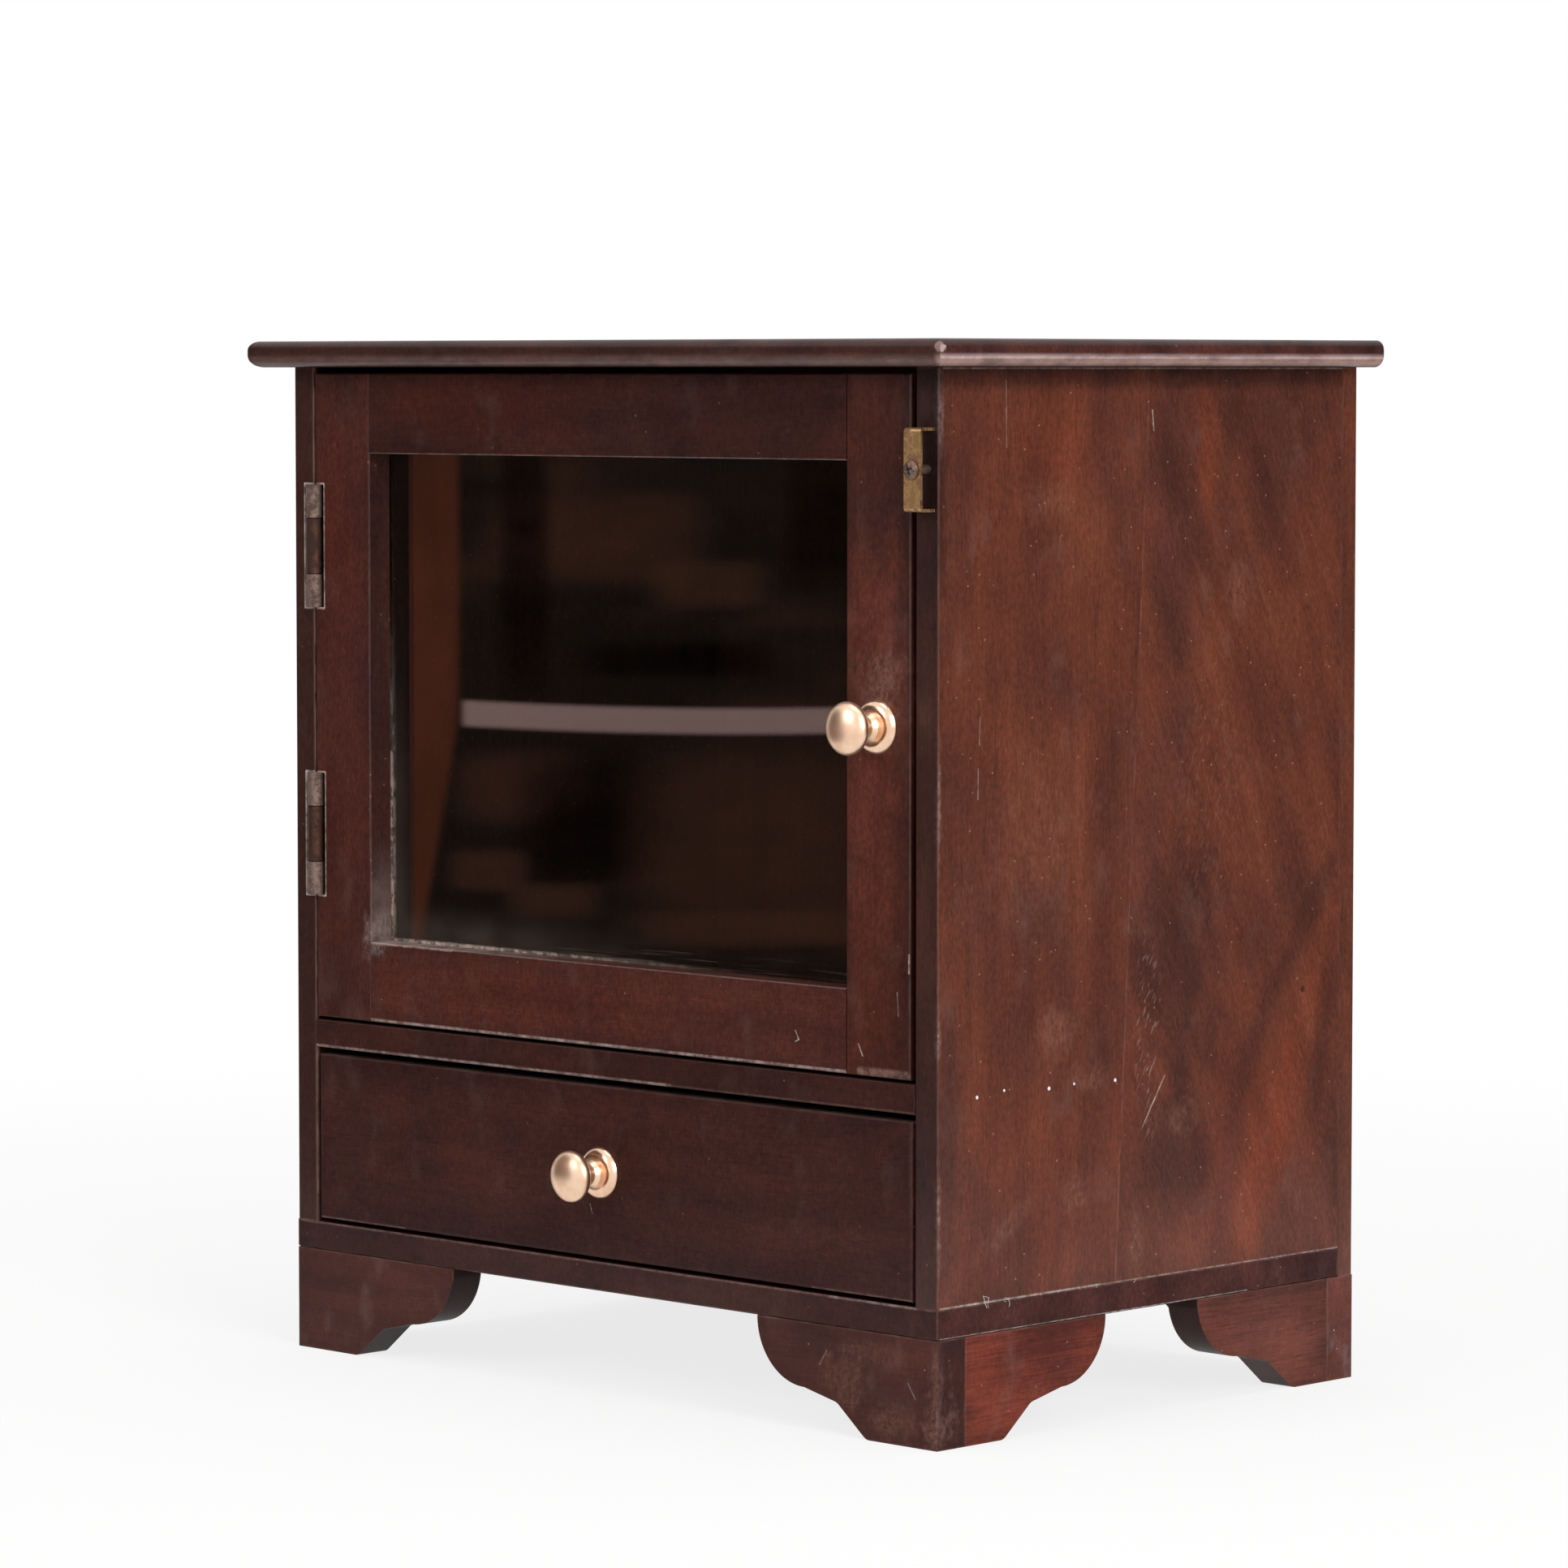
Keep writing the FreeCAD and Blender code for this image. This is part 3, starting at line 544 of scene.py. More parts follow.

# %% [markdown]
# The finish of a board puts it all together: the grain picks a tone of the stain, the marks of the board,
# dust and wear are laid over it one by one, and a lacquer coat shines on top, thinner where it has worn.
# The bare inside of the case has no lacquer, and is darkened as painted shade. One function makes them all,
# so every board has its own grain and wear.

# %% Wood under lacquer
WORN = paint(158, 128, 118)
DUST = paint(126, 102, 94)
SPECK = paint(200, 156, 132)
PORE_TINT = (0.45, 0.4, 0.4, 1)
FLECK_TINT = (1.45, 1.6, 1.8, 1)
BLOOM_TINT = (0.76, 0.86, 1.02, 1)
# Painted shade on the inner and under faces of the case, which also have no lacquer
LINING_SHADE_TINT = (0.3, 0.27, 0.26, 1)
END_TINT = (0.8, 0.92, 1.05, 1)
GRIME_TINT = (0.66, 0.68, 0.74, 1)
SAWN_TINT = (0.26, 0.3, 0.32, 1)
# Sizes in millimetres of what lies over the grain
CLOUD, BLOOM, HAZE = (60, 30, 30), (34, 34, 50), (15, 15, 22)
GRIT, PATCHES = (1.6, 1.6, 2.6), (9, 9, 9)
TONE_STOPS = (0.15, 0.5, 0.85)


def wood(node, seed, grain, tones, gloss=0.5, contrast=1.0, gritty=1.2, pored=0.2, specked=0.25, dusty=0.13,
         worn=0.3, rubbed_to=WORN, lining=None, rear_lean=None, end_tint=END_TINT, front_tint=None, sawn=None,
         marks=()):
    """The finish of one board: grain direction, (dark, middle, light) tones, and what is its own."""
    material, ink = new_finish("wood_" + node)
    low, high = node_box(node)
    place = place_in_mm(ink)
    laid = two_boards(place, seed, rear_lean) if rear_lean else grain_place(place, grain, seed)
    bands, streaks, pores, flecks = growth(laid)
    cloud = noise(mapped(laid, CLOUD, shift=(seed, 2 * seed, 3 * seed)), detail=4.0)
    bloom = ease(noise(mapped(place, BLOOM, shift=(seed, seed, 2 * seed)), detail=4.0), 0.46, 0.72)
    haze = ease(noise(mapped(place, HAZE, shift=(3 * seed, seed, 0)), detail=4.0), 0.54, 0.82)
    grit = noise(mapped(place, GRIT, shift=(seed, 0, 0)), detail=3.0, roughness=0.7)

    figure = (bands - 0.5) * 0.6 + (streaks - 0.5) * 0.4 + (cloud - 0.5) * 0.9
    tone = figure * contrast + (grit - 0.5) * gritty + 0.5
    colour = ink.node("ShaderNodeValToRGB", {"stops": list(zip(TONE_STOPS, tones))}, {"Fac": tone})
    colour = darken(bloom * 0.8, colour, BLOOM_TINT)
    for mark in marks:
        colour = mark(place, colour)
    pits = ease(pores, 0.58, 0.74)
    colour = darken(pits * pored, colour, PORE_TINT)
    colour = darken(ease(flecks, 0.56, 0.72) * 0.5, colour, FLECK_TINT)
    colour = blend(haze * dusty, colour, DUST)
    colour = blend(dust_specks(place, seed) * specked, colour, SPECK)

    cut_end = on_both_faces(place, low, high, grain)
    colour = darken(cut_end, colour, end_tint)
    if front_tint:
        colour = darken(on_face(place, low, high, "y", "low"), colour, front_tint)
    if sawn:
        thick, outer = sawn
        planed = largest(on_both_faces(place, low, high, thick), on_face(place, low, high, *outer))
        colour = darken(1 - planed, colour, SAWN_TINT)
    patchy = noise(mapped(place, PATCHES, shift=(seed, 0, seed)), detail=4.0, roughness=0.6)
    edge = way_to_edge(place, low, high)
    colour = darken(ease(edge, 10, 0.5) * ease(patchy, 0.3, 0.65) * 0.6, colour, GRIME_TINT)
    rubbed = ease(edge, 0.9, 0.2) * (ease(patchy, 0.4, 0.7) * 0.8 + 0.2)
    colour = blend(rubbed * worn, colour, rubbed_to)
    lacquer = ((cloud - 0.5) - haze * 0.5 - rubbed * 0.6 - cut_end * 0.6 + 1) * gloss
    # Inner and under faces: no lacquer, and their colour darkened as painted shade
    if lining:
        bare_and_shaded = on_face(place, low, high, *lining)
        colour = darken(bare_and_shaded, colour, LINING_SHADE_TINT)
        lacquer = lacquer * (1 - bare_and_shaded)

    relief = streaks * 0.35 - pits * 0.5 + patchy * 0.15
    surface(ink, {"Base Color": colour, "Roughness": haze * 0.2 + 0.6, "Specular IOR Level": 0.08,
                  "Normal": relief.bump(0.2),
                  "Coat Weight": lacquer, "Coat Roughness": 0.24, "Coat IOR": 1.5})
    return material


def dress(node, material):
    """Gives a CAD node its finish."""
    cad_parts[node].material_slots[0].material = material


print("wood finish ready")

# %% [markdown]
# Some marks belong to one board only: a patch of figure in the wood, a smear of dust, a filled hole. They
# could be painted on an image, but written as places in millimetres on a face of the cabinet they stay
# sharp and can be moved. Each kind of mark is a small function that gives another one, which lays its
# colour over the board's.

# %% Patches and spots
SMEARED = paint(150, 106, 88)
FRONT, OUTSIDE = -114.75, 187.5
# A face of the cabinet: the axis that it looks along, and its place on that axis
FRONT_FACE, RIGHT_FACE = (1, FRONT), (0, OUTSIDE)
# How far a mark reaches into a board, where nothing else is said
THROUGH = 40
# Sizes in millimetres of ragged outlines, of wiped dust and of nicks
STAIN_RAGGED, SMEAR_RAGGED = (12, 12, 20), (8, 8, 11)
WIPED, NICKS = (2.2, 2.2, 3.0), (1.2, 1.2, 5)


def lifted(face, flat, through=None):
    """Two numbers on a face made three, with the face's own place, or else a size through the board."""
    axis, level = face
    whole = list(flat)
    whole.insert(axis, level if through is None else through)
    return whole


def far_from(place, face, middle, half, lean=0, through=THROUGH):
    """How far out a point lies, counted in the half sizes of an ellipsoid on a face, which may lean."""
    sockets = {"Vector": place, "Location": lifted(face, middle), "Rotation": (math.radians(lean), 0, 0),
               "Scale": lifted(face, half, through)}
    inside = place.node("ShaderNodeMapping", {"vector_type": "TEXTURE"}, sockets)
    return inside.vectors("LENGTH", inside, out="Value")


def stain(face, middle, half, lean, tint, strength=1.0, rear_board=False, through=THROUGH):
    """A patch of darker or redder wood with a ragged outline, which may stop at a side panel's joint."""
    def mark(place, under):
        ragged = noise(mapped(place, STAIN_RAGGED), detail=4.0) - 0.5
        inside = ease(far_from(place, face, middle, half, lean, through) + ragged * 1.4, 1.4, 0.3)
        if rear_board:
            inside = inside * ease(behind_joint(place), -1.0, 2.0)
        return darken(inside * strength, under, tint)
    return mark


def smear(face, middle, half, strength, colour=SMEARED, lean=0, through=THROUGH):
    """A soft, ragged patch of dust or rubbed lacquer."""
    def mark(place, under):
        ragged = noise(mapped(place, SMEAR_RAGGED), detail=6.0, roughness=0.7) - 0.5
        inside = ease(far_from(place, face, middle, half, lean, through) + ragged * 3.4, 1.4, 0.0)
        wiped = ease(noise(mapped(place, WIPED), detail=5.0, roughness=0.75), 0.3, 0.7)
        return blend(inside * wiped * strength, under, colour)
    return mark


def spot(face, middle, radius, colour, strength):
    """A small round or chipped spot."""
    def mark(place, under):
        ragged = noise(mapped(place, (radius * 0.6,) * 3), detail=2.0) - 0.5
        out = far_from(place, face, middle, (radius, radius), through=radius)
        return blend(ease(out + ragged, 1.0, 0.7) * strength, under, colour)
    return mark


def grazed(face, middle, half, lean, strength):
    """A patch of short pale nicks, all leaning one way."""
    def mark(place, under):
        leaning = mapped(place, turn=(math.radians(lean), 0, 0))
        nicks = ease(noise(mapped(leaning, NICKS), detail=2.0), 0.56, 0.68)
        inside = ease(far_from(place, face, middle, half), 1.2, 0.4)
        return blend(nicks * inside * strength, under, WORN)
    return mark


print("patches and spots ready")

# %% [markdown]
# Other marks are lines and strips: scratches, arrises that a cloth has rubbed, dust on a ledge, old wax in
# a corner, a painted shadow under the overhang of the top and a painted reflection on its round. A scratch
# is found by its distance from a line between two points, which stays thin at any scale.

# %% Lines and ledges
PUTTY = paint(214, 198, 184)
DUSTY_PALE = paint(184, 164, 156)
GREY_WAX = paint(92, 84, 80)
# Old wax with a painted reflection of the floor, on the lower round of the top
PALE_WAX_AND_REFLECTION = paint(188, 152, 140)
REVEAL_TINT = (0.82, 1.08, 1.14, 1)
# Painted shadow under the overhang of the top
UNDER_TOP_SHADE_TINT = (0.62, 0.64, 0.7, 1)
# Sizes in millimetres of the breaks in a line, of lying dust and of old wax
SCRATCH_BREAKS, JOINT_BREAKS = (4, 4, 4), (4, 4, 14)
LYING_DUST, WAX = (9, 9, 9), (16, 16, 5)
# Where the painted shadow under the overhang of the top starts, and where it is full, upwards
SHADE_FROM, SHADE_FULL = 408, 414
# Where the top board's round starts and ends: upwards, to the front and to the right
ROUND_LOW, ROUND_HIGH = 422.0, 425.0
ROUND_FRONT, ROUND_RIGHT = (-124.0, -127.5), (197.0, 200.5)
HINGE_ENDS = ((195.2, 247.2), (317.5, 369.5))


def scratch(face, start, end, width=0.35, strength=0.55, colour=PUTTY):
    """A thin pale line between two points, broken by the texture of the wood."""
    start, end = Vector(lifted(face, start)), Vector(lifted(face, end))
    reach = (end - start).length
    course = (end - start) / reach

    def mark(place, under):
        way = place.vectors("SUBTRACT", place, start)
        along = way.vectors("DOT_PRODUCT", way, course, out="Value")
        held = smallest(largest(along, 0.0), reach)
        off = way.vectors("DISTANCE", way, held.vectors("SCALE", course, Scale=held), out="Value")
        breaks = noise(mapped(place, SCRATCH_BREAKS), detail=4.0, roughness=0.7)
        broken = ease(breaks, 0.35, 0.65) * 0.75 + 0.25
        return blend(ease(off, width, width * 0.3) * broken * strength, under, colour)
    return mark


def dust_round_hinges(x, inner, colour):
    """Pale lines of dust round the hinge beds: one beside each barrel, and one at each of its ends."""
    lines = []
    for low, high in HINGE_ENDS:
        for start, end in (((x, low), (x, high)), ((x, low), (inner, low)), ((x, high), (inner, high))):
            lines.append(scratch(FRONT_FACE, start, end, 1.1, 0.9, colour))
    return lines


def glued_joint(place, under):
    """The thin line where the two boards of a side panel meet."""
    broken = noise(mapped(place, JOINT_BREAKS), detail=2.0)
    line = ease(abs(behind_joint(place)), 0.6, 0.2) * ease(broken, 0.42, 0.62)
    return blend(line * 0.14, under, WORN)


def at_level(place, axis, level):
    """1 on a face that lies at one level of an axis."""
    return ease(abs(parts(place)[AXIS[axis]] - level), 0.4, 0.1)


def dusty_ledge(axis, level, way, first, last, strength, colour=DUSTY_PALE):
    """Dust on a hidden face of a board, thick at the first end of a run and gone at the last."""
    def mark(place, under):
        lying = ease(noise(mapped(place, LYING_DUST), detail=3.0), 0.1, 0.7)
        run = ease(parts(place)[AXIS[way]], last, first)
        return blend(at_level(place, axis, level) * lying * run * strength, under, colour)
    return mark


def grimy_reveal(axis, level):
    """An inner face of the window, greyer than the front because no cloth wipes it."""
    def mark(place, under):
        return darken(at_level(place, axis, level), under, REVEAL_TINT)
    return mark


def shade_under_top(place, under):
    """A painted shadow: the dark strip under the overhang of the top."""
    _, _, up = parts(place)
    return darken(ease(up, SHADE_FROM, SHADE_FULL), under, UNDER_TOP_SHADE_TINT)


def dust_and_reflection_round(place, under):
    """Lower half of the top board's round: old wax, dust and a painted reflection of the floor, most at the
    right.
    """
    x, y, z = parts(place)
    waxy = ease(noise(mapped(place, WAX), detail=4.0), 0.2, 0.65) * 0.6 + 0.4
    below = ease(z, ROUND_HIGH, ROUND_LOW) * waxy
    at_front, at_right = ease(y, *ROUND_FRONT), ease(x, *ROUND_RIGHT)
    grey = blend(ease(z, ROUND_LOW, ROUND_HIGH) * at_front * waxy * 0.05, under, GREY_WAX)
    front = blend(below * at_front * 0.26, grey, WORN)
    return blend(below * at_right * 0.66, front, PALE_WAX_AND_REFLECTION)


print("lines and ledges ready")

# %% [markdown]
# The right side panel shows most of its life: dark and red figure that leans across the rear board, smears
# of dust, old scratches, a nail hole. Each row is a kind of mark and what it takes, from its place (deep,
# up).

# %% Marks of the right side panel
PALE_RUBBED = paint(190, 156, 144)
NAIL_HOLE = paint(52, 28, 24)
DARK_FIGURE = (0.6, 0.64, 0.8, 1)
PURPLE_FIGURE = (0.56, 0.64, 0.9, 1)
RED_FIGURE = (1.35, 1.18, 1.0, 1)
WARM_LOW = (1.0, 0.86, 0.76, 1)
RED_LOW = (1.12, 0.96, 0.88, 1)
DARK_EDGE = (0.6, 0.66, 0.72, 1)
EDGE_MIDDLE = 181.5


def marked(face, rows):
    """The marks on one face of the cabinet."""
    return [kind(face, *row) for kind, *row in rows]


SIDE_FIGURE = [
    (stain, (26, 182), (26, 48), 0, PURPLE_FIGURE, 1.0, True),
    (stain, (27, 105), (24, 28), 0, PURPLE_FIGURE, 0.9, True),
    (stain, (24, 355), (16, 80), 0, PURPLE_FIGURE, 0.8, True),
    (stain, (43, 385), (7, 26), 0, RED_FIGURE, 0.9),
    (stain, (82, 392), (34, 28), 0, DARK_FIGURE, 0.8),
    (stain, (109, 196), (6, 36), -35, DARK_FIGURE, 0.7),
    (stain, (73, 143), (7, 36), -28, DARK_FIGURE, 0.7),
    (stain, (57, 92), (8, 36), -8, DARK_FIGURE, 0.6),
    (stain, (100, 138), (13, 70), -27, RED_FIGURE, 0.55),
    (stain, (80, 90), (12, 40), -14, RED_FIGURE, 0.4),
    (stain, (118, 150), (7, 36), -10, DARK_FIGURE, 0.8),
    (stain, (-109, 118), (7, 64), 0, PURPLE_FIGURE, 0.9),
    (stain, (-54, 388), (26, 28), 0, RED_FIGURE, 0.7),
    (stain, (-20, 385), (14, 26), 0, DARK_FIGURE, 0.6),
    (stain, (-60, 80), (55, 60), 0, WARM_LOW, 0.8),
    (stain, (75, 95), (45, 50), 0, RED_LOW, 0.8),
]
SIDE_SMEARS = [
    (smear, (-46, 158), (12, 9), 0.33),
    (smear, (-30, 138), (15, 6), 0.33),
    (smear, (26, 118), (10, 10), 0.33),
    (smear, (-35, 94), (13, 9), 0.29),
    (smear, (-76, 83), (19, 6), 0.29, SMEARED, 35),
    (smear, (65, 330), (10, 17), 0.29),
    (smear, (-53, 366), (17, 8), 0.25),
    (smear, (-60, 230), (30, 40), 0.17),
    (smear, (1, 72), (5, 13), 0.33),
    (smear, (-114, 94), (1.3, 17), 0.6, PALE_RUBBED, 0, 2.5),
    (smear, (-114, 160), (1.2, 10), 0.45, PALE_RUBBED, 0, 2.0),
    (smear, (-114, 252), (1.2, 22), 0.45, PALE_RUBBED, 0, 2.0),
    (smear, (-113.5, 400), (2.0, 16), 0.5, PALE_RUBBED, 0, 3.0),
]
SIDE_SCRATCHES = [
    (grazed, (8, 152), (9, 45), 30, 0.45),
    (grazed, (45, 250), (25, 60), 24, 0.12),
    (scratch, (18.4, 135.7), (5.2, 116.3), 0.45, 0.7),
    (scratch, (-76.5, 414), (-76.2, 388), 0.3, 0.3),
    (scratch, (-91, 284), (-91.4, 273), 0.35, 0.35),
    (scratch, (-92, 264), (-92.2, 252), 0.35, 0.35),
    (scratch, (9.4, 402), (10.3, 394), 0.45, 0.6),
    (scratch, (-112, 418.6), (132, 418.6), 0.5, 0.5),
    (scratch, (-113, 55.2), (-20, 55.2), 0.9, 0.5),
    (scratch, (-113, 55.2), (132, 55.2), 0.6, 0.45),
    (spot, (104.2, 164.4), 1.5, NAIL_HOLE, 0.8),
]
SIDE_MARKS = marked(RIGHT_FACE, SIDE_FIGURE + SIDE_SMEARS)
SIDE_MARKS.append(stain(FRONT_FACE, (EDGE_MIDDLE, 395), (12, 70), 0, DARK_EDGE, through=5))
SIDE_MARKS += marked(RIGHT_FACE, SIDE_SCRATCHES)
# Last comes the painted shadow under the overhang of the top.
SIDE_MARKS += [glued_joint, shade_under_top]
print(len(SIDE_MARKS), "marks on the right side panel")

# %% [markdown]
# The front carries pale lines where cloths have rubbed its arrises for years, dust in the corners that they
# never reach, and darker stain towards the right. Its rows start with a place (across, up). The back has the
# filled heads of its pins, which a loop sets out as a joiner would, at even steps.

# %% Marks of the other boards
# The tints of a dark edge and the painted shade of a lining come over the marks,
# so dust there starts out much brighter.
DUST_ON_DARK = (1.5, 1.05, 0.78, 1)
CLOSING_SHADOW = paint(40, 24, 20)
RUBBED = paint(146, 100, 86)
BACK_FACE, TOP_END = (1, 137.25), (0, 200.6)
LEFT_INSIDE = -175.5
WARM_STILE = (1.3, 1.1, 1.05, 1)
DARK_STILE_HEAD = (0.5, 0.53, 0.6, 1)
DARK_STILE_EDGE = (0.6, 0.62, 0.7, 1)
DARK_STILE_FOOT = (0.64, 0.58, 0.56, 1)
RED_RAIL = (1.25, 1.0, 0.9, 1)
DARK_RAIL = (0.72, 0.76, 0.8, 1)
WARM_RAIL = (1.15, 0.98, 0.92, 1)
WINDOW_LEFT, WINDOW_RIGHT, WINDOW_BOTTOM, WINDOW_TOP = -140.2, 138.4, 176.9, 382.8
DOOR_LOW, DIVIDER_LOW, DRAWER_HIGH, DRAWER_LOW, BASE_HIGH = 144.0, 130.4, 127.0, 57.0, 54.6

LEFT_STILE_MARKS = [
    stain(FRONT_FACE, (-160, 350), (12, 55), 0, WARM_STILE, 0.8),
    grimy_reveal("x", WINDOW_LEFT),
    dusty_ledge("x", WINDOW_LEFT, "z", 178.0, 225.0, 0.28),
    smear(FRONT_FACE, (-142, 181), (4, 10), 0.4, DUSTY_PALE),
    *dust_round_hinges(-169.2, -173.5, DUSTY_PALE),
]
RIGHT_STILE_MARKS = marked(FRONT_FACE, [
    (stain, (158, 402), (40, 66), 0, DARK_STILE_HEAD),
    (stain, (173, 290), (9, 170), 0, DARK_STILE_EDGE, 0.8),
    (smear, (157, 294), (14, 13), 0.35, WORN),
    (scratch, (146, 145), (171, 145), 2.4, 0.5, PALE_RUBBED),
    (stain, (156, 165), (40, 70), 0, DARK_STILE_FOOT),
    (scratch, (172.3, 146), (172.3, 414), 1.3, 0.8, CLOSING_SHADOW),
    (scratch, (172.2, 192), (172.2, 185), 0.6, 0.9, PALE_RUBBED),
    (scratch, (WINDOW_RIGHT, 178), (WINDOW_RIGHT, 382), 0.5, 0.3),
    (scratch, (145.2, 155.5), (147.4, 151), 0.45),
    (scratch, (166, 177), (166.6, 168), 0.4, 0.4),
])
TOP_RAIL_MARKS = marked(FRONT_FACE, [
    (stain, (-70, 404), (60, 14), 0, RED_RAIL),
    (stain, (70, 402), (75, 22), 0, DARK_RAIL),
    (scratch, (-140, WINDOW_TOP), (138, WINDOW_TOP), 0.6, 0.6),
])
BOTTOM_RAIL_MARKS = [
    stain(FRONT_FACE, (-60, 158), (70, 14), 0, WARM_RAIL),
    dusty_ledge("z", WINDOW_BOTTOM, "x", -140.0, 0.0, 0.65),
] + marked(FRONT_FACE, [
    (smear, (-138, 175), (10, 5), 0.4, DUSTY_PALE),
    (scratch, (WINDOW_LEFT, WINDOW_BOTTOM), (-90, WINDOW_BOTTOM), 1.2, 0.6, PALE_RUBBED),
    (scratch, (WINDOW_LEFT, WINDOW_BOTTOM), (WINDOW_RIGHT, WINDOW_BOTTOM), 0.6, 0.4),
    (scratch, (-174, DOOR_LOW), (140, DOOR_LOW), 1.0, 0.7, DUSTY_PALE),
    (scratch, (110.8, 158.2), (112.6, 154.8), 0.4),
    (scratch, (112.6, 154.8), (110.6, 153.8), 0.35),
])
DIVIDER_MARKS = marked(FRONT_FACE, [
    (scratch, (-175, DIVIDER_LOW), (40, DIVIDER_LOW), 1.2, 0.6, DUSTY_PALE),
    (scratch, (-175, DIVIDER_LOW), (175, DIVIDER_LOW), 0.9, 0.2, WORN),
])
# The dust on the drawer front's top face is also painted light in the shaded gap above the drawer.
DRAWER_MARKS = [dusty_ledge("z", DRAWER_HIGH, "y", -114.0, -101.0, 0.5, DUST)] + marked(FRONT_FACE, [
    (scratch, (-173, DRAWER_LOW), (-120, DRAWER_LOW), 0.9, 0.4, WORN),
    (scratch, (120, DRAWER_LOW), (173, DRAWER_LOW), 0.9, 0.4, WORN),
    (scratch, (-6.6, 78.2), (-5.2, 74.4), 0.35, 0.4),
])
BASE_MARKS = marked(FRONT_FACE, [
    (scratch, (-185, BASE_HIGH), (185, BASE_HIGH), 0.8, 0.25, WORN),
    (scratch, (130, BASE_HIGH), (176, BASE_HIGH), 0.8, 0.4, DUSTY_PALE),
]) + [scratch(RIGHT_FACE, (-113, 43.3), (70, 43.3), 0.6, 0.45)]
FOOT_MARKS = marked(RIGHT_FACE, [
    (smear, (FRONT, 9), (14, 12), 0.7, RUBBED, 0, 7),
    (smear, (FRONT, 28), (6, 14), 0.5, RUBBED, 0, 4),
]) + marked(FRONT_FACE, [
    (smear, (138, 22), (12, 10), 0.28),
    (smear, (165, 8), (16, 7), 0.3),
    (smear, (150, 34), (20, 6), 0.2),
    (scratch, (128, 33), (124, 27), 0.4, 0.3),
    (scratch, (172, 25), (176, 19), 0.4, 0.3),
])
PIN_PLACES = [(end * EDGE_MIDDLE, 60 + 68 * step) for end in (-1, 1) for step in range(6)]
PIN_PLACES += [(-120 + 80 * step, level) for level in (49, 413) for step in range(4)]
BACK_MARKS = [spot(BACK_FACE, place, 1.6, PUTTY, 0.7) for place in PIN_PLACES]
TOP_MARKS = [dust_and_reflection_round, spot(TOP_END, (-128.2, 427), 2.6, WORN, 0.8)]
print(len(PIN_PLACES), "pins in the back board")

# %% [markdown]
# Now every board gets its finish. The front is stained darkest, the sides are redder, and the drawer box,
# which is out of sight, is bare wood. Grain runs along the length of each board, as a joiner lays it. Each
# could have a function of its own, but one table that says what is special to a board is easier to tune.

# %% Boards
FRONT_TONES = (paint(52, 22, 17), paint(69, 31, 24), paint(86, 41, 31))
RAIL_TONES = (paint(42, 18, 13), paint(56, 25, 19), paint(70, 33, 25))
STILE_TONES = (paint(62, 27, 19), paint(84, 39, 28), paint(104, 50, 36))
SIDE_TONES = (paint(80, 40, 29), paint(98, 50, 34), paint(116, 60, 42))
FOOT_TONES = {"front": (paint(84, 32, 21), paint(113, 47, 31), paint(138, 61, 42)),
              "back": (paint(78, 38, 29), paint(97, 49, 38), paint(114, 60, 46))}
INNER_TONES = (paint(92, 60, 42), paint(124, 84, 58), paint(150, 104, 74))
EDGE_TINT = (0.34, 0.4, 0.5, 1)
PALE_END_TINT = (2.7, 3.6, 4.0, 1)
BASE_END_TINT = (1.7, 2.0, 2.3, 1)
LEAN_LEFT, LEAN_RIGHT = math.radians(12), math.radians(-24)


def board(grain, tones, **own):
    return {"grain": grain, "tones": tones, **own}


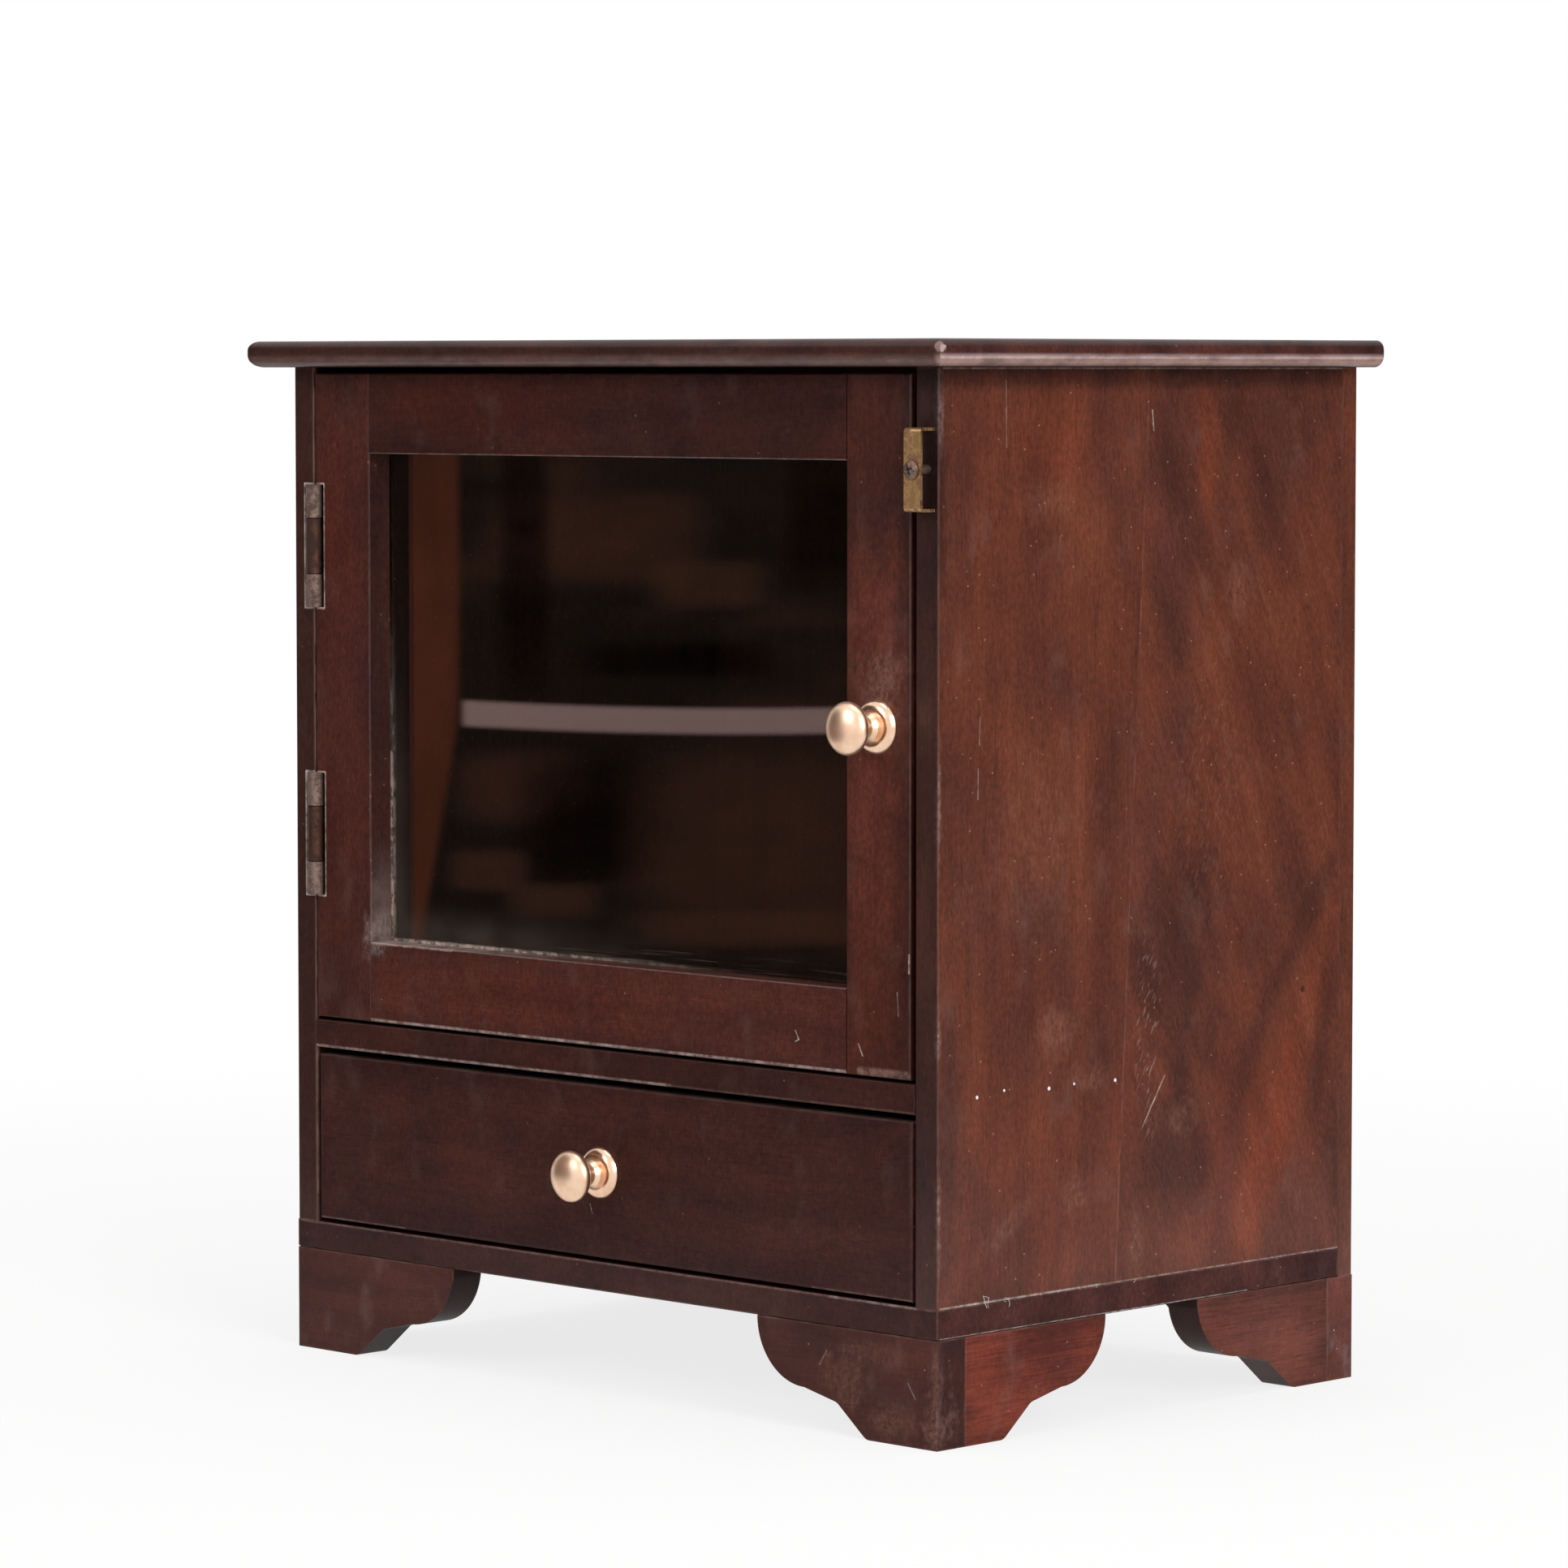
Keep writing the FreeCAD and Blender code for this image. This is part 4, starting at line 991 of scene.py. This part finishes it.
FRONT_FINISH = {"gloss": 0.36, "contrast": 0.9, "worn": 0.15}
SIDE_FINISH = {"gloss": 0.4, "pored": 0.45, "specked": 0.6, "dusty": 0.2, "worn": 0.25, "rubbed_to": RUBBED,
               "front_tint": EDGE_TINT}
FOOT_FINISH = {"gloss": 0.2, "gritty": 0.6, "dusty": 0.3, "specked": 0.5, "worn": 0.25}
HINGE_SIDE_MARKS = [glued_joint, *dust_round_hinges(-180.8, LEFT_INSIDE, DUST_ON_DARK),
                    dusty_ledge("x", LEFT_INSIDE, "y", -114.0, -112.0, 0.45, DUST_ON_DARK)]
BOARDS = {
    "door_stile_left": board("z", FRONT_TONES, **FRONT_FINISH, marks=LEFT_STILE_MARKS),
    "door_stile_right": board("z", STILE_TONES, **FRONT_FINISH, marks=RIGHT_STILE_MARKS),
    "door_rail_top": board("x", RAIL_TONES, **FRONT_FINISH, marks=TOP_RAIL_MARKS),
    "door_rail_bottom": board("x", FRONT_TONES, **FRONT_FINISH, marks=BOTTOM_RAIL_MARKS),
    "divider_board": board("x", RAIL_TONES, gloss=0.2, worn=0.08, lining=("z", "high"), marks=DIVIDER_MARKS),
    "base_board": board("x", RAIL_TONES, gloss=0.25, end_tint=BASE_END_TINT, marks=BASE_MARKS),
    "top_board": board("x", RAIL_TONES, contrast=1.4, lining=("z", "low"), end_tint=BASE_END_TINT,
                       marks=TOP_MARKS),
    "back_board": board("z", SIDE_TONES, contrast=1.4, lining=("y", "low"), marks=BACK_MARKS),
    "side_panel_left": board("z", SIDE_TONES, **SIDE_FINISH, lining=("x", "high"), rear_lean=LEAN_LEFT,
                             marks=HINGE_SIDE_MARKS),
    "side_panel_right": board("z", SIDE_TONES, **SIDE_FINISH, lining=("x", "low"), rear_lean=LEAN_RIGHT,
                              contrast=1.2, marks=SIDE_MARKS),
    # The drawer front's ends are far paler than end grain: painted light in the shaded gaps beside the
    # drawer.
    "drawer_front": board("x", RAIL_TONES, gloss=0.16, worn=0.15, pored=0.5, end_tint=PALE_END_TINT,
                          marks=DRAWER_MARKS),
    "drawer_side_left": board("y", INNER_TONES),
    "drawer_side_right": board("y", INNER_TONES),
    "drawer_back": board("x", INNER_TONES),
    "drawer_bottom": board("x", INNER_TONES),
    "door_stop": board("z", INNER_TONES),
}
for edge, grain in (("left", "z"), ("right", "z"), ("top", "x"), ("bottom", "x")):
    BOARDS["glazing_bead_" + edge] = board(grain, RAIL_TONES)
for end, outer in (("left", "low"), ("right", "high")):
    across = {**FOOT_FINISH, "sawn": ("y", ("x", outer))}
    BOARDS["foot_front_" + end] = board("x", FRONT_TONES, **across)
    BOARDS["foot_back_" + end] = board("x", FRONT_TONES, end_tint=PALE_END_TINT, **across)
    for depth, outer in (("front", "low"), ("back", "high")):
        along = {**FOOT_FINISH, "sawn": ("x", ("y", outer)), "contrast": 2.2, "pored": 0.6}
        BOARDS[f"foot_side_{depth}_{end}"] = board("y", FOOT_TONES[depth], **along)
BOARDS["foot_front_right"]["marks"] = FOOT_MARKS

for seed, (node, own) in enumerate(BOARDS.items(), start=1):
    dress(node, wood(node, seed, **own))
print(len(BOARDS), "boards finished")

# %% [markdown]
# The knobs are turned brass with a satin face: fine rings left by the lathe spread the light into wedges.
# The catch and hinges are older metal, clean where fingers touch them and blotched with tarnish elsewhere.
# Metal has no colour but what it mirrors, so the tint of the brass and its roughness do most of the work.

# %% Metals
BRASS_PALE, BRASS_DEEP = paint(247, 212, 184), paint(236, 195, 164)
RINGS_PER_MM = 3


def satin_brass(node, polish):
    """Pale satin brass with lathe rings round the knob's own axis. The smaller the polish, the clearer."""
    material, ink = new_finish("brass_" + node)
    low, high = node_box(node)
    middle = (low + high) / 2
    place = place_in_mm(ink)
    x, y, z = parts(place)
    from_axis = ((x - middle.x).square() + (z - middle.z).square()).root()
    turning = noise(ink.point(X=from_axis * RINGS_PER_MM, Y=y * RINGS_PER_MM), detail=2.0)
    breath = noise(mapped(place, (5, 5, 5)), detail=3.0)
    colour = blend(ease(breath, 0.35, 0.75), BRASS_PALE, BRASS_DEEP)
    surface(ink, {"Base Color": colour, "Metallic": 1.0, "Roughness": breath * 0.15 + polish,
                  "Normal": turning.bump(0.05)})
    return material


def aged_metal(name, clean, tarnished, size, roughness):
    """Old metal: clean where it is handled, blotched with tarnish elsewhere."""
    material, ink = new_finish(name)
    place = place_in_mm(ink)
    blotch = noise(mapped(place, (size,) * 3), detail=4.0, roughness=0.65)
    specks = noise(mapped(place, (size / 5,) * 3), detail=2.0)
    old = ease(blotch + (specks - 0.5) * 0.3, 0.40, 0.62)
    surface(ink, {"Base Color": blend(old, clean, tarnished), "Metallic": 1 - old * 0.4,
                  "Roughness": old * 0.25 + roughness, "Normal": blotch.bump(0.1)})
    return material


for knob in ("door_knob", "drawer_knob"):
    dress(knob, satin_brass(knob, 0.28))
    dress(knob + "_rosette", satin_brass(knob + "_rosette", 0.14))
STEEL = aged_metal("dull_steel", paint(128, 104, 94), paint(82, 62, 54), 4.0, 0.46)
SCREWS = ("door_knob_screw", "drawer_knob_screw", "catch_screw", "hinge_screws_side", "hinge_screws_door")
for screw in SCREWS:
    dress(screw, STEEL)
dress("catch_bar", aged_metal("old_brass_strip", paint(212, 170, 118), paint(126, 92, 64), 5.0, 0.34))
DUSTY_HINGE = aged_metal("dusty_hinge", paint(140, 120, 110), paint(104, 82, 72), 4.0, 0.65)
STAINED_HINGE = aged_metal("stained_hinge", paint(86, 60, 50), paint(66, 42, 34), 5.0, 0.55)
for hinge in ("hinge_upper", "hinge_lower"):
    dress(hinge + "_side_leaf", DUSTY_HINGE)
    dress(hinge + "_door_leaf", STAINED_HINGE)
    dress(hinge + "_pin", DUSTY_HINGE)
print("metals finished")

# %% [markdown]
# The pane is plain window glass, 2.5 mm thick, and the case behind it is dark, so it mostly mirrors the
# room. Cloths never reach into its corners: dust lies along the lower and the left edge, thickest where
# they meet. A mask mixes the clear shader with a dull one, because dust that only changed the glass's
# colour would still shine.

# %% Glass
CLEAR = paint(236, 242, 238)
DULL, DULL_PALE = paint(176, 152, 138), paint(214, 192, 178)
# Sizes in millimetres of smears, of caked dust and of the strokes of a cloth
PANE_SMEARS, PANE_CAKED, PANE_STROKES = (14, 14, 22), (3, 3, 5), (40, 3, 0.8)


def window_glass():
    material, ink = new_finish("window_glass")
    place = place_in_mm(ink)
    x, _, z = parts(place)
    from_left, from_bottom = x - WINDOW_LEFT, z - WINDOW_BOTTOM
    smears = noise(mapped(place, PANE_SMEARS), detail=4.0)
    caked = noise(mapped(place, PANE_CAKED), detail=3.0)
    strokes = noise(mapped(place, PANE_STROKES), detail=3.0)
    film = largest(ease(from_left, 16, 1) * ease(z, 330, 190), ease(from_bottom, 20, 1) * ease(x, 60, -110))
    at_left = ease(from_left, 2.4, 1.0) * ease(z, 330, 195)
    at_bottom = ease(from_bottom, 1.8, 0.6) * ease(x, 90, -110)
    wiped = ease(strokes, 0.55, 0.7) * ease(from_bottom, 10, 1)
    corners = largest(at_left, at_bottom) * (ease(caked, 0.35, 0.65) * 0.7 + 0.15)
    dust = film * smears * 0.08 + wiped * 0.12 + corners
    clear = ink.node("ShaderNodeBsdfPrincipled", sockets={
        "Base Color": CLEAR, "Roughness": 0.0, "Transmission Weight": 1.0, "IOR": 1.5})
    dull = ink.node("ShaderNodeBsdfPrincipled", sockets={
        "Base Color": blend(caked, DULL, DULL_PALE), "Roughness": 0.9})
    show(ink, mix_shaders(dust, clear, dull))
    return material


dress("glass_pane", window_glass())
print("pane glazed")

# %% [markdown]
# Screws and nails repeat, so Geometry Nodes make them: a tree of nodes that turns a few sizes into a mesh.
# The same small class builds these trees. Each tree ends by making its copies real and giving them a
# finish, and the mesh it gives is kept as a plain mesh, with no modifier left on it.

# %% Geometry Nodes as a tool
SOCKET_KINDS = {int: "NodeSocketInt", float: "NodeSocketFloat", tuple: "NodeSocketVector"}


def new_tool(name, sizes):
    """An empty tree with a named input for each size. Gives a Shade to start from, and the inputs."""
    tree = bpy.data.node_groups.new(name, "GeometryNodeTree")
    tree.interface.new_socket("Mesh", in_out="OUTPUT", socket_type="NodeSocketGeometry")
    tree.interface.new_socket("Finish", in_out="INPUT", socket_type="NodeSocketMaterial")
    for label, size in sizes.items():
        tree.interface.new_socket(label, in_out="INPUT", socket_type=SOCKET_KINDS[type(size)])
    entry = tree.nodes.new("NodeGroupInput")
    inputs = {label: Shade(tree, entry.outputs[label]) for label in ("Finish", *sizes)}
    return Shade(tree), inputs


def end_tool(ink, inputs, shape):
    """Makes the copies real and gives them the finish."""
    whole = ink.form("RealizeInstances", Geometry=shape)
    whole = ink.form("SetMaterial", Geometry=whole, Material=inputs["Finish"])
    ink.node("NodeGroupOutput", sockets={"Mesh": whole})


def as_it_looks(made):
    """The plain mesh of an object with its modifiers applied. The object is taken away."""
    mesh = bpy.data.meshes.new_from_object(made.evaluated_get(bpy.context.evaluated_depsgraph_get()))
    made.modifiers.clear()
    bpy.data.objects.remove(made)
    return mesh


def use_tool(ink, finish, sizes):
    """The plain mesh that a tree makes from these sizes."""
    carrier = bpy.data.objects.new(ink.tree.name, bpy.data.meshes.new(ink.tree.name))
    scene.collection.objects.link(carrier)
    modifier = carrier.modifiers.new(ink.tree.name, "NODES")
    modifier.node_group = ink.tree
    values = {"Finish": finish, **sizes}
    for socket in ink.tree.interface.items_tree:
        if socket.in_out == "INPUT":
            modifier[socket.identifier] = values[socket.name]
    return as_it_looks(carrier)


def random_number(ink, low, high, seed):
    """A number for each copy, always the same one for the same seed."""
    return ink.node("FunctionNodeRandomValue", {"data_type": "FLOAT"}, {2: low, 3: high, "Seed": seed}, out=1)


def one_piece(name, meshes, body, sharp=35):
    """Joins meshes into one piece that rides on a body, smooth but for its sharp edges."""
    joined = bmesh.new()
    for mesh in meshes:
        joined.from_mesh(mesh)
    whole = bpy.data.meshes.new(name)
    joined.to_mesh(whole)
    joined.free()
    whole.materials.append(meshes[0].materials[0])
    whole.shade_smooth()
    whole.set_sharp_from_angle(angle=math.radians(sharp))
    piece = bpy.data.objects.new(name, whole)
    scene.collection.objects.link(piece)
    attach(piece, body)
    print(name, len(whole.polygons), "faces")
    return piece


print("tool kit ready")

# %% [markdown]
# A row of nails holds the divider through each side board. Their filled heads are low domes in a row, each
# a little off its mark and of its own size, as a hammer leaves them. One tool makes both rows, with two
# seeds.

# %% Nail heads
NAIL_SIZES = {"Count": 5, "First": (0.0, 0.0, 0.0), "Step": (0.0, 0.0, 0.0), "Turn": (0.0, 0.0, 0.0),
              "Radius": 0.7 * MM, "Height": 0.25 * MM, "Stray": 0.2, "Drift": 1.5 * MM, "Seed": 1}
NAIL_FIRST, NAIL_LAST, NAIL_LEVEL, NAIL_SUNK = -94, -13, 136, 0.05
TO_SIDE = (0.0, math.pi / 2, 0.0)


def nail_row_tool():
    ink, given = new_tool("nail_row", NAIL_SIZES)
    line = ink.form("MeshLine", Count=given["Count"], Start_Location=given["First"], Offset=given["Step"])
    stray = random_number(ink, -1.0, 1.0, given["Seed"]) * given["Stray"]
    along = ink.vectors("SCALE", given["Step"], Scale=stray)
    drift = random_number(ink, -1.0, 1.0, given["Seed"] + 1) * given["Drift"]
    aside = ink.vectors("ADD", along, ink.point(Z=drift))
    spots = ink.form("SetPosition", Geometry=line, Offset=aside)
    ball = ink.form("MeshUVSphere", Segments=14, Rings=8, Radius=1.0)
    low_dome = ink.point(X=given["Radius"], Y=given["Radius"], Z=given["Height"])
    head = ink.form("Transform", Geometry=ball, Scale=low_dome)
    size = random_number(ink, 0.8, 1.25, given["Seed"])
    heads = ink.form("InstanceOnPoints", Points=spots, Instance=head, Rotation=given["Turn"], Scale=size)
    end_tool(ink, given, heads)
    return ink


def nail_row(end, seed):
    """The row of nail heads on one side board, from the front to the glued joint."""
    x = end * (OUTSIDE - NAIL_SUNK)
    first, last = (Vector((x, deep, NAIL_LEVEL)) * MM for deep in (NAIL_FIRST, NAIL_LAST))
    step = (last - first) / (NAIL_SIZES["Count"] - 1)
    sizes = {**NAIL_SIZES, "First": tuple(first), "Step": tuple(step), "Turn": TO_SIDE, "Seed": seed}
    return use_tool(NAIL_TOOL, NAIL_FINISH, sizes)


NAIL_TOOL = nail_row_tool()
NAIL_FINISH = aged_metal("filled_nail_heads", PUTTY, paint(170, 142, 128), 3.0, 0.6)
nail_rows = [nail_row(end, 3 + end) for end in (-1, 1)]
one_piece("nail_heads", nail_rows, "carcass")

# %% [markdown]
# The hinge screws are countersunk: a cone head with a slot, flush with the leaf. The screws repeat along a
# leaf and the leaves along the door, so a line of screws stands on each point of a line of hinges. The
# slots stop at any angle, which the seed settles. Copies set by hand would do too, but one tool serves both
# leaves.

# %% Hinge screws
SCREW_SIZES = {"First": (0.0, 0.0, 0.0), "Hinge step": (0.0, 0.0, 0.1223), "Screw step": (0.0, 0.0, 0.032),
               "Turn": (0.0, 0.0, 0.0), "Head radius": 2.8 * MM, "Head depth": 1.8 * MM,
               "Shank radius": 1.5 * MM, "Length": 9.0 * MM, "Slot width": 0.8 * MM, "Slot depth": 0.9 * MM,
               "Seed": 4}
SCREW_DEEP, SCREW_UP = -104.75, 205.2
# Each leaf: the face that its screws sit in, the turn that sends them into the wood, and its body
LEAVES = {"side": (-175.3, -math.pi / 2, "carcass"), "door": (-174.7, math.pi / 2, "door")}


def hinge_screw_tool():
    ink, given = new_tool("hinge_screws", SCREW_SIZES)
    hinges = ink.form("MeshLine", Count=2, Start_Location=given["First"], Offset=given["Hinge step"])
    pair = ink.form("MeshLine", Count=2, Offset=given["Screw step"])
    pairs = ink.form("InstanceOnPoints", Points=hinges, Instance=pair)
    spots = ink.form("RealizeInstances", Geometry=pairs)

    cone = ink.form("MeshCone", Vertices=32, Radius_Bottom=given["Head radius"],
                    Radius_Top=given["Shank radius"], Depth=given["Head depth"])
    bar = ink.point(X=given["Head radius"] * 2.5, Y=given["Slot width"], Z=given["Slot depth"] * 2)
    slot = ink.form("MeshCube", Size=bar)
    head = ink.node("GeometryNodeMeshBoolean", {"operation": "DIFFERENCE"}, {"Mesh 1": cone, "Mesh 2": slot})
    point = ink.form("MeshCone", Vertices=24, Radius_Bottom=given["Shank radius"],
                     Radius_Top=given["Shank radius"] * 0.35, Depth=given["Length"] - given["Head depth"])
    shank = ink.form("Transform", Geometry=point, Translation=ink.point(Z=given["Head depth"]))
    screw = ink.form("JoinGeometry", Geometry=head)
    ink.tree.links.new(shank.socket, screw.socket.node.inputs["Geometry"])

    screws = ink.form("InstanceOnPoints", Points=spots, Instance=screw, Rotation=given["Turn"])
    spin = ink.point(Z=random_number(ink, 0.0, math.pi, given["Seed"]))
    end_tool(ink, given, ink.form("RotateInstances", Instances=screws, Rotation=spin))
    return ink


SCREW_TOOL = hinge_screw_tool()
for leaf, (face, turn, body) in LEAVES.items():
    first = (face * MM, SCREW_DEEP * MM, SCREW_UP * MM)
    sizes = {**SCREW_SIZES, "First": first, "Turn": (0.0, turn, 0.0)}
    screws = one_piece("slotted_screws_" + leaf, [use_tool(SCREW_TOOL, STEEL, sizes)], body)
    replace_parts(screws, "hinge_screws_" + leaf)

# %% [markdown]
# The catch turns on a round-head screw with a cross recess. Bump could hint at the recess, but the screw
# stands out of the front and is seen from close by, so it is cut. The head is a profile spun about its
# axis, and a Boolean modifier cuts it with a tapered cross. The result is kept as a plain mesh.

# %% Catch screw
HEAD_RADIUS, HEAD_RIM, HEAD_DOME = 3.7, 0.6, 1.6
DOME_STEPS, TURN_STEPS = 10, 48
SHANK_RADIUS, SHANK_LENGTH = 2.0, 23.8
RECESS_ARM, RECESS_HALF, RECESS_DEPTH = 2.2, 0.5, 1.5
HEAD_SEAT, CATCH_UP, RECESS_ANGLE = -123.55, 379.7, math.radians(20)


def finished(mesh, name):
    """The Blender object of a bmesh, with its faces turned outwards."""
    bmesh.ops.recalc_face_normals(mesh, faces=mesh.faces)
    plain = bpy.data.meshes.new(name)
    mesh.to_mesh(plain)
    mesh.free()
    made = bpy.data.objects.new(name, plain)
    scene.collection.objects.link(made)
    return made


def spun(name, profile, steps):
    """A closed turned shape from (radius, height) points in millimetres."""
    mesh = bmesh.new()
    points = [mesh.verts.new((radius * MM, 0, height * MM)) for radius, height in profile]
    edges = [mesh.edges.new(pair) for pair in zip(points, points[1:])]
    bmesh.ops.spin(mesh, geom=points + edges, cent=(0, 0, 0), axis=(0, 0, 1), angle=2 * math.pi, steps=steps)
    bmesh.ops.remove_doubles(mesh, verts=mesh.verts, dist=0.001 * MM)
    return finished(mesh, name)


def tapered_cross(name, top):
    """A four-armed cutter that narrows downwards from above the head."""
    quarter = [(RECESS_HALF, RECESS_HALF), (RECESS_HALF, RECESS_ARM), (-RECESS_HALF, RECESS_ARM)]
    corners = []
    for _ in range(4):
        corners += quarter
        quarter = [(-y, x) for x, y in quarter]
    mesh = bmesh.new()
    rings = []
    for height, share in ((top + 1.0, 1.4), (top - RECESS_DEPTH, 0.55)):
        rings.append([mesh.verts.new((x * share * MM, y * share * MM, height * MM)) for x, y in corners])
    mesh.faces.new(rings[0])
    mesh.faces.new(rings[1])
    for index, above in enumerate(rings[0]):
        mesh.faces.new((above, rings[0][index - 1], rings[1][index - 1], rings[1][index]))
    return finished(mesh, name)


def catch_screw():
    top = HEAD_RIM + HEAD_DOME
    ball = (HEAD_RADIUS ** 2 / HEAD_DOME + HEAD_DOME) / 2
    widest = math.asin(HEAD_RADIUS / ball)
    dome = [(ball * math.sin(angle), top - ball + ball * math.cos(angle))
            for angle in (widest * step / DOME_STEPS for step in range(DOME_STEPS + 1))]
    below = [(HEAD_RADIUS, 0), (SHANK_RADIUS, 0), (SHANK_RADIUS, -SHANK_LENGTH), (0, -SHANK_LENGTH)]
    solid = spun("catch_screw_solid", dome + below, TURN_STEPS)
    cutter = tapered_cross("catch_screw_recess", top)
    cut = solid.modifiers.new("recess", "BOOLEAN")
    cut.operation = "DIFFERENCE"
    cut.object = cutter
    mesh = as_it_looks(solid)
    bpy.data.objects.remove(cutter)
    place = Matrix.Translation(Vector((EDGE_MIDDLE, HEAD_SEAT, CATCH_UP)) * MM)
    mesh.transform(place @ Matrix.Rotation(math.pi / 2, 4, "X") @ Matrix.Rotation(RECESS_ANGLE, 4, "Z"))
    mesh.materials.clear()
    mesh.materials.append(STEEL)
    return mesh


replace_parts(one_piece("cross_head_screw", [catch_screw()], "carcass"), "catch_screw")

# %% [markdown]
# Fluff has caught in the joint under the right side board. Each fibre is a short arc with a round section,
# and Geometry Nodes scatter them along the joint, turned every way. They could be drawn one by one, but a
# seed does it as well, and always gives the same tufts.

# %% Dust fibres
FIBRE_SIZES = {"Count": 12, "First": (0.0, 0.0, 0.0), "Step": (0.0, 0.0, 0.0), "Radius": 2.6 * MM,
               "Thickness": 0.07 * MM, "Seed": 2}
# Tufts along the joint: first place and height, step, number of fibres, radius of their arcs, seed
TUFTS = [(-88, 55.0, 1.5, 3, 3.2, 2), (-79, 53.5, 1.0, 3, 2.6, 9), (-66, 55.0, 11.0, 8, 0.8, 5)]


def fibre_tool():
    ink, given = new_tool("dust_fibres", FIBRE_SIZES)
    spots = ink.form("MeshLine", Count=given["Count"], Start_Location=given["First"], Offset=given["Step"])
    arc = ink.form("CurveArc", Resolution=8, Radius=given["Radius"], Sweep_Angle=1.9)
    ring = ink.form("CurvePrimitiveCircle", Resolution=5, Radius=given["Thickness"])
    fibre = ink.form("CurveToMesh", Curve=arc, Profile_Curve=ring, Fill_Caps=True)
    turns = [random_number(ink, 0.0, 2 * math.pi, given["Seed"] + shift) for shift in (0, 1, 2)]
    turn = ink.point(**dict(zip("XYZ", turns)))
    size = random_number(ink, 0.5, 1.2, given["Seed"] + 3)
    fibres = ink.form("InstanceOnPoints", Points=spots, Instance=fibre, Rotation=turn, Scale=size)
    end_tool(ink, given, fibres)
    return ink


def fluff():
    """Matt grey fluff."""
    material, ink = new_finish("fluff")
    shade = noise(place_in_mm(ink), detail=2.0)
    surface(ink, {"Base Color": blend(shade, paint(176, 162, 154), paint(214, 204, 198)), "Roughness": 0.95})
    return material


def tuft(start, up, step, count, radius, seed):
    """Fibres along the joint, from a first point towards the back."""
    sizes = {"Count": count, "First": (OUTSIDE * MM, start * MM, up * MM), "Step": (0.0, step * MM, 0.0)}
    return use_tool(FIBRE_TOOL, FLUFF, {**FIBRE_SIZES, **sizes, "Radius": radius * MM, "Seed": seed})


FIBRE_TOOL = fibre_tool()
FLUFF = fluff()
tufts = [tuft(*place) for place in TUFTS]
one_piece("dust_fluff", tufts, "carcass", sharp=180)
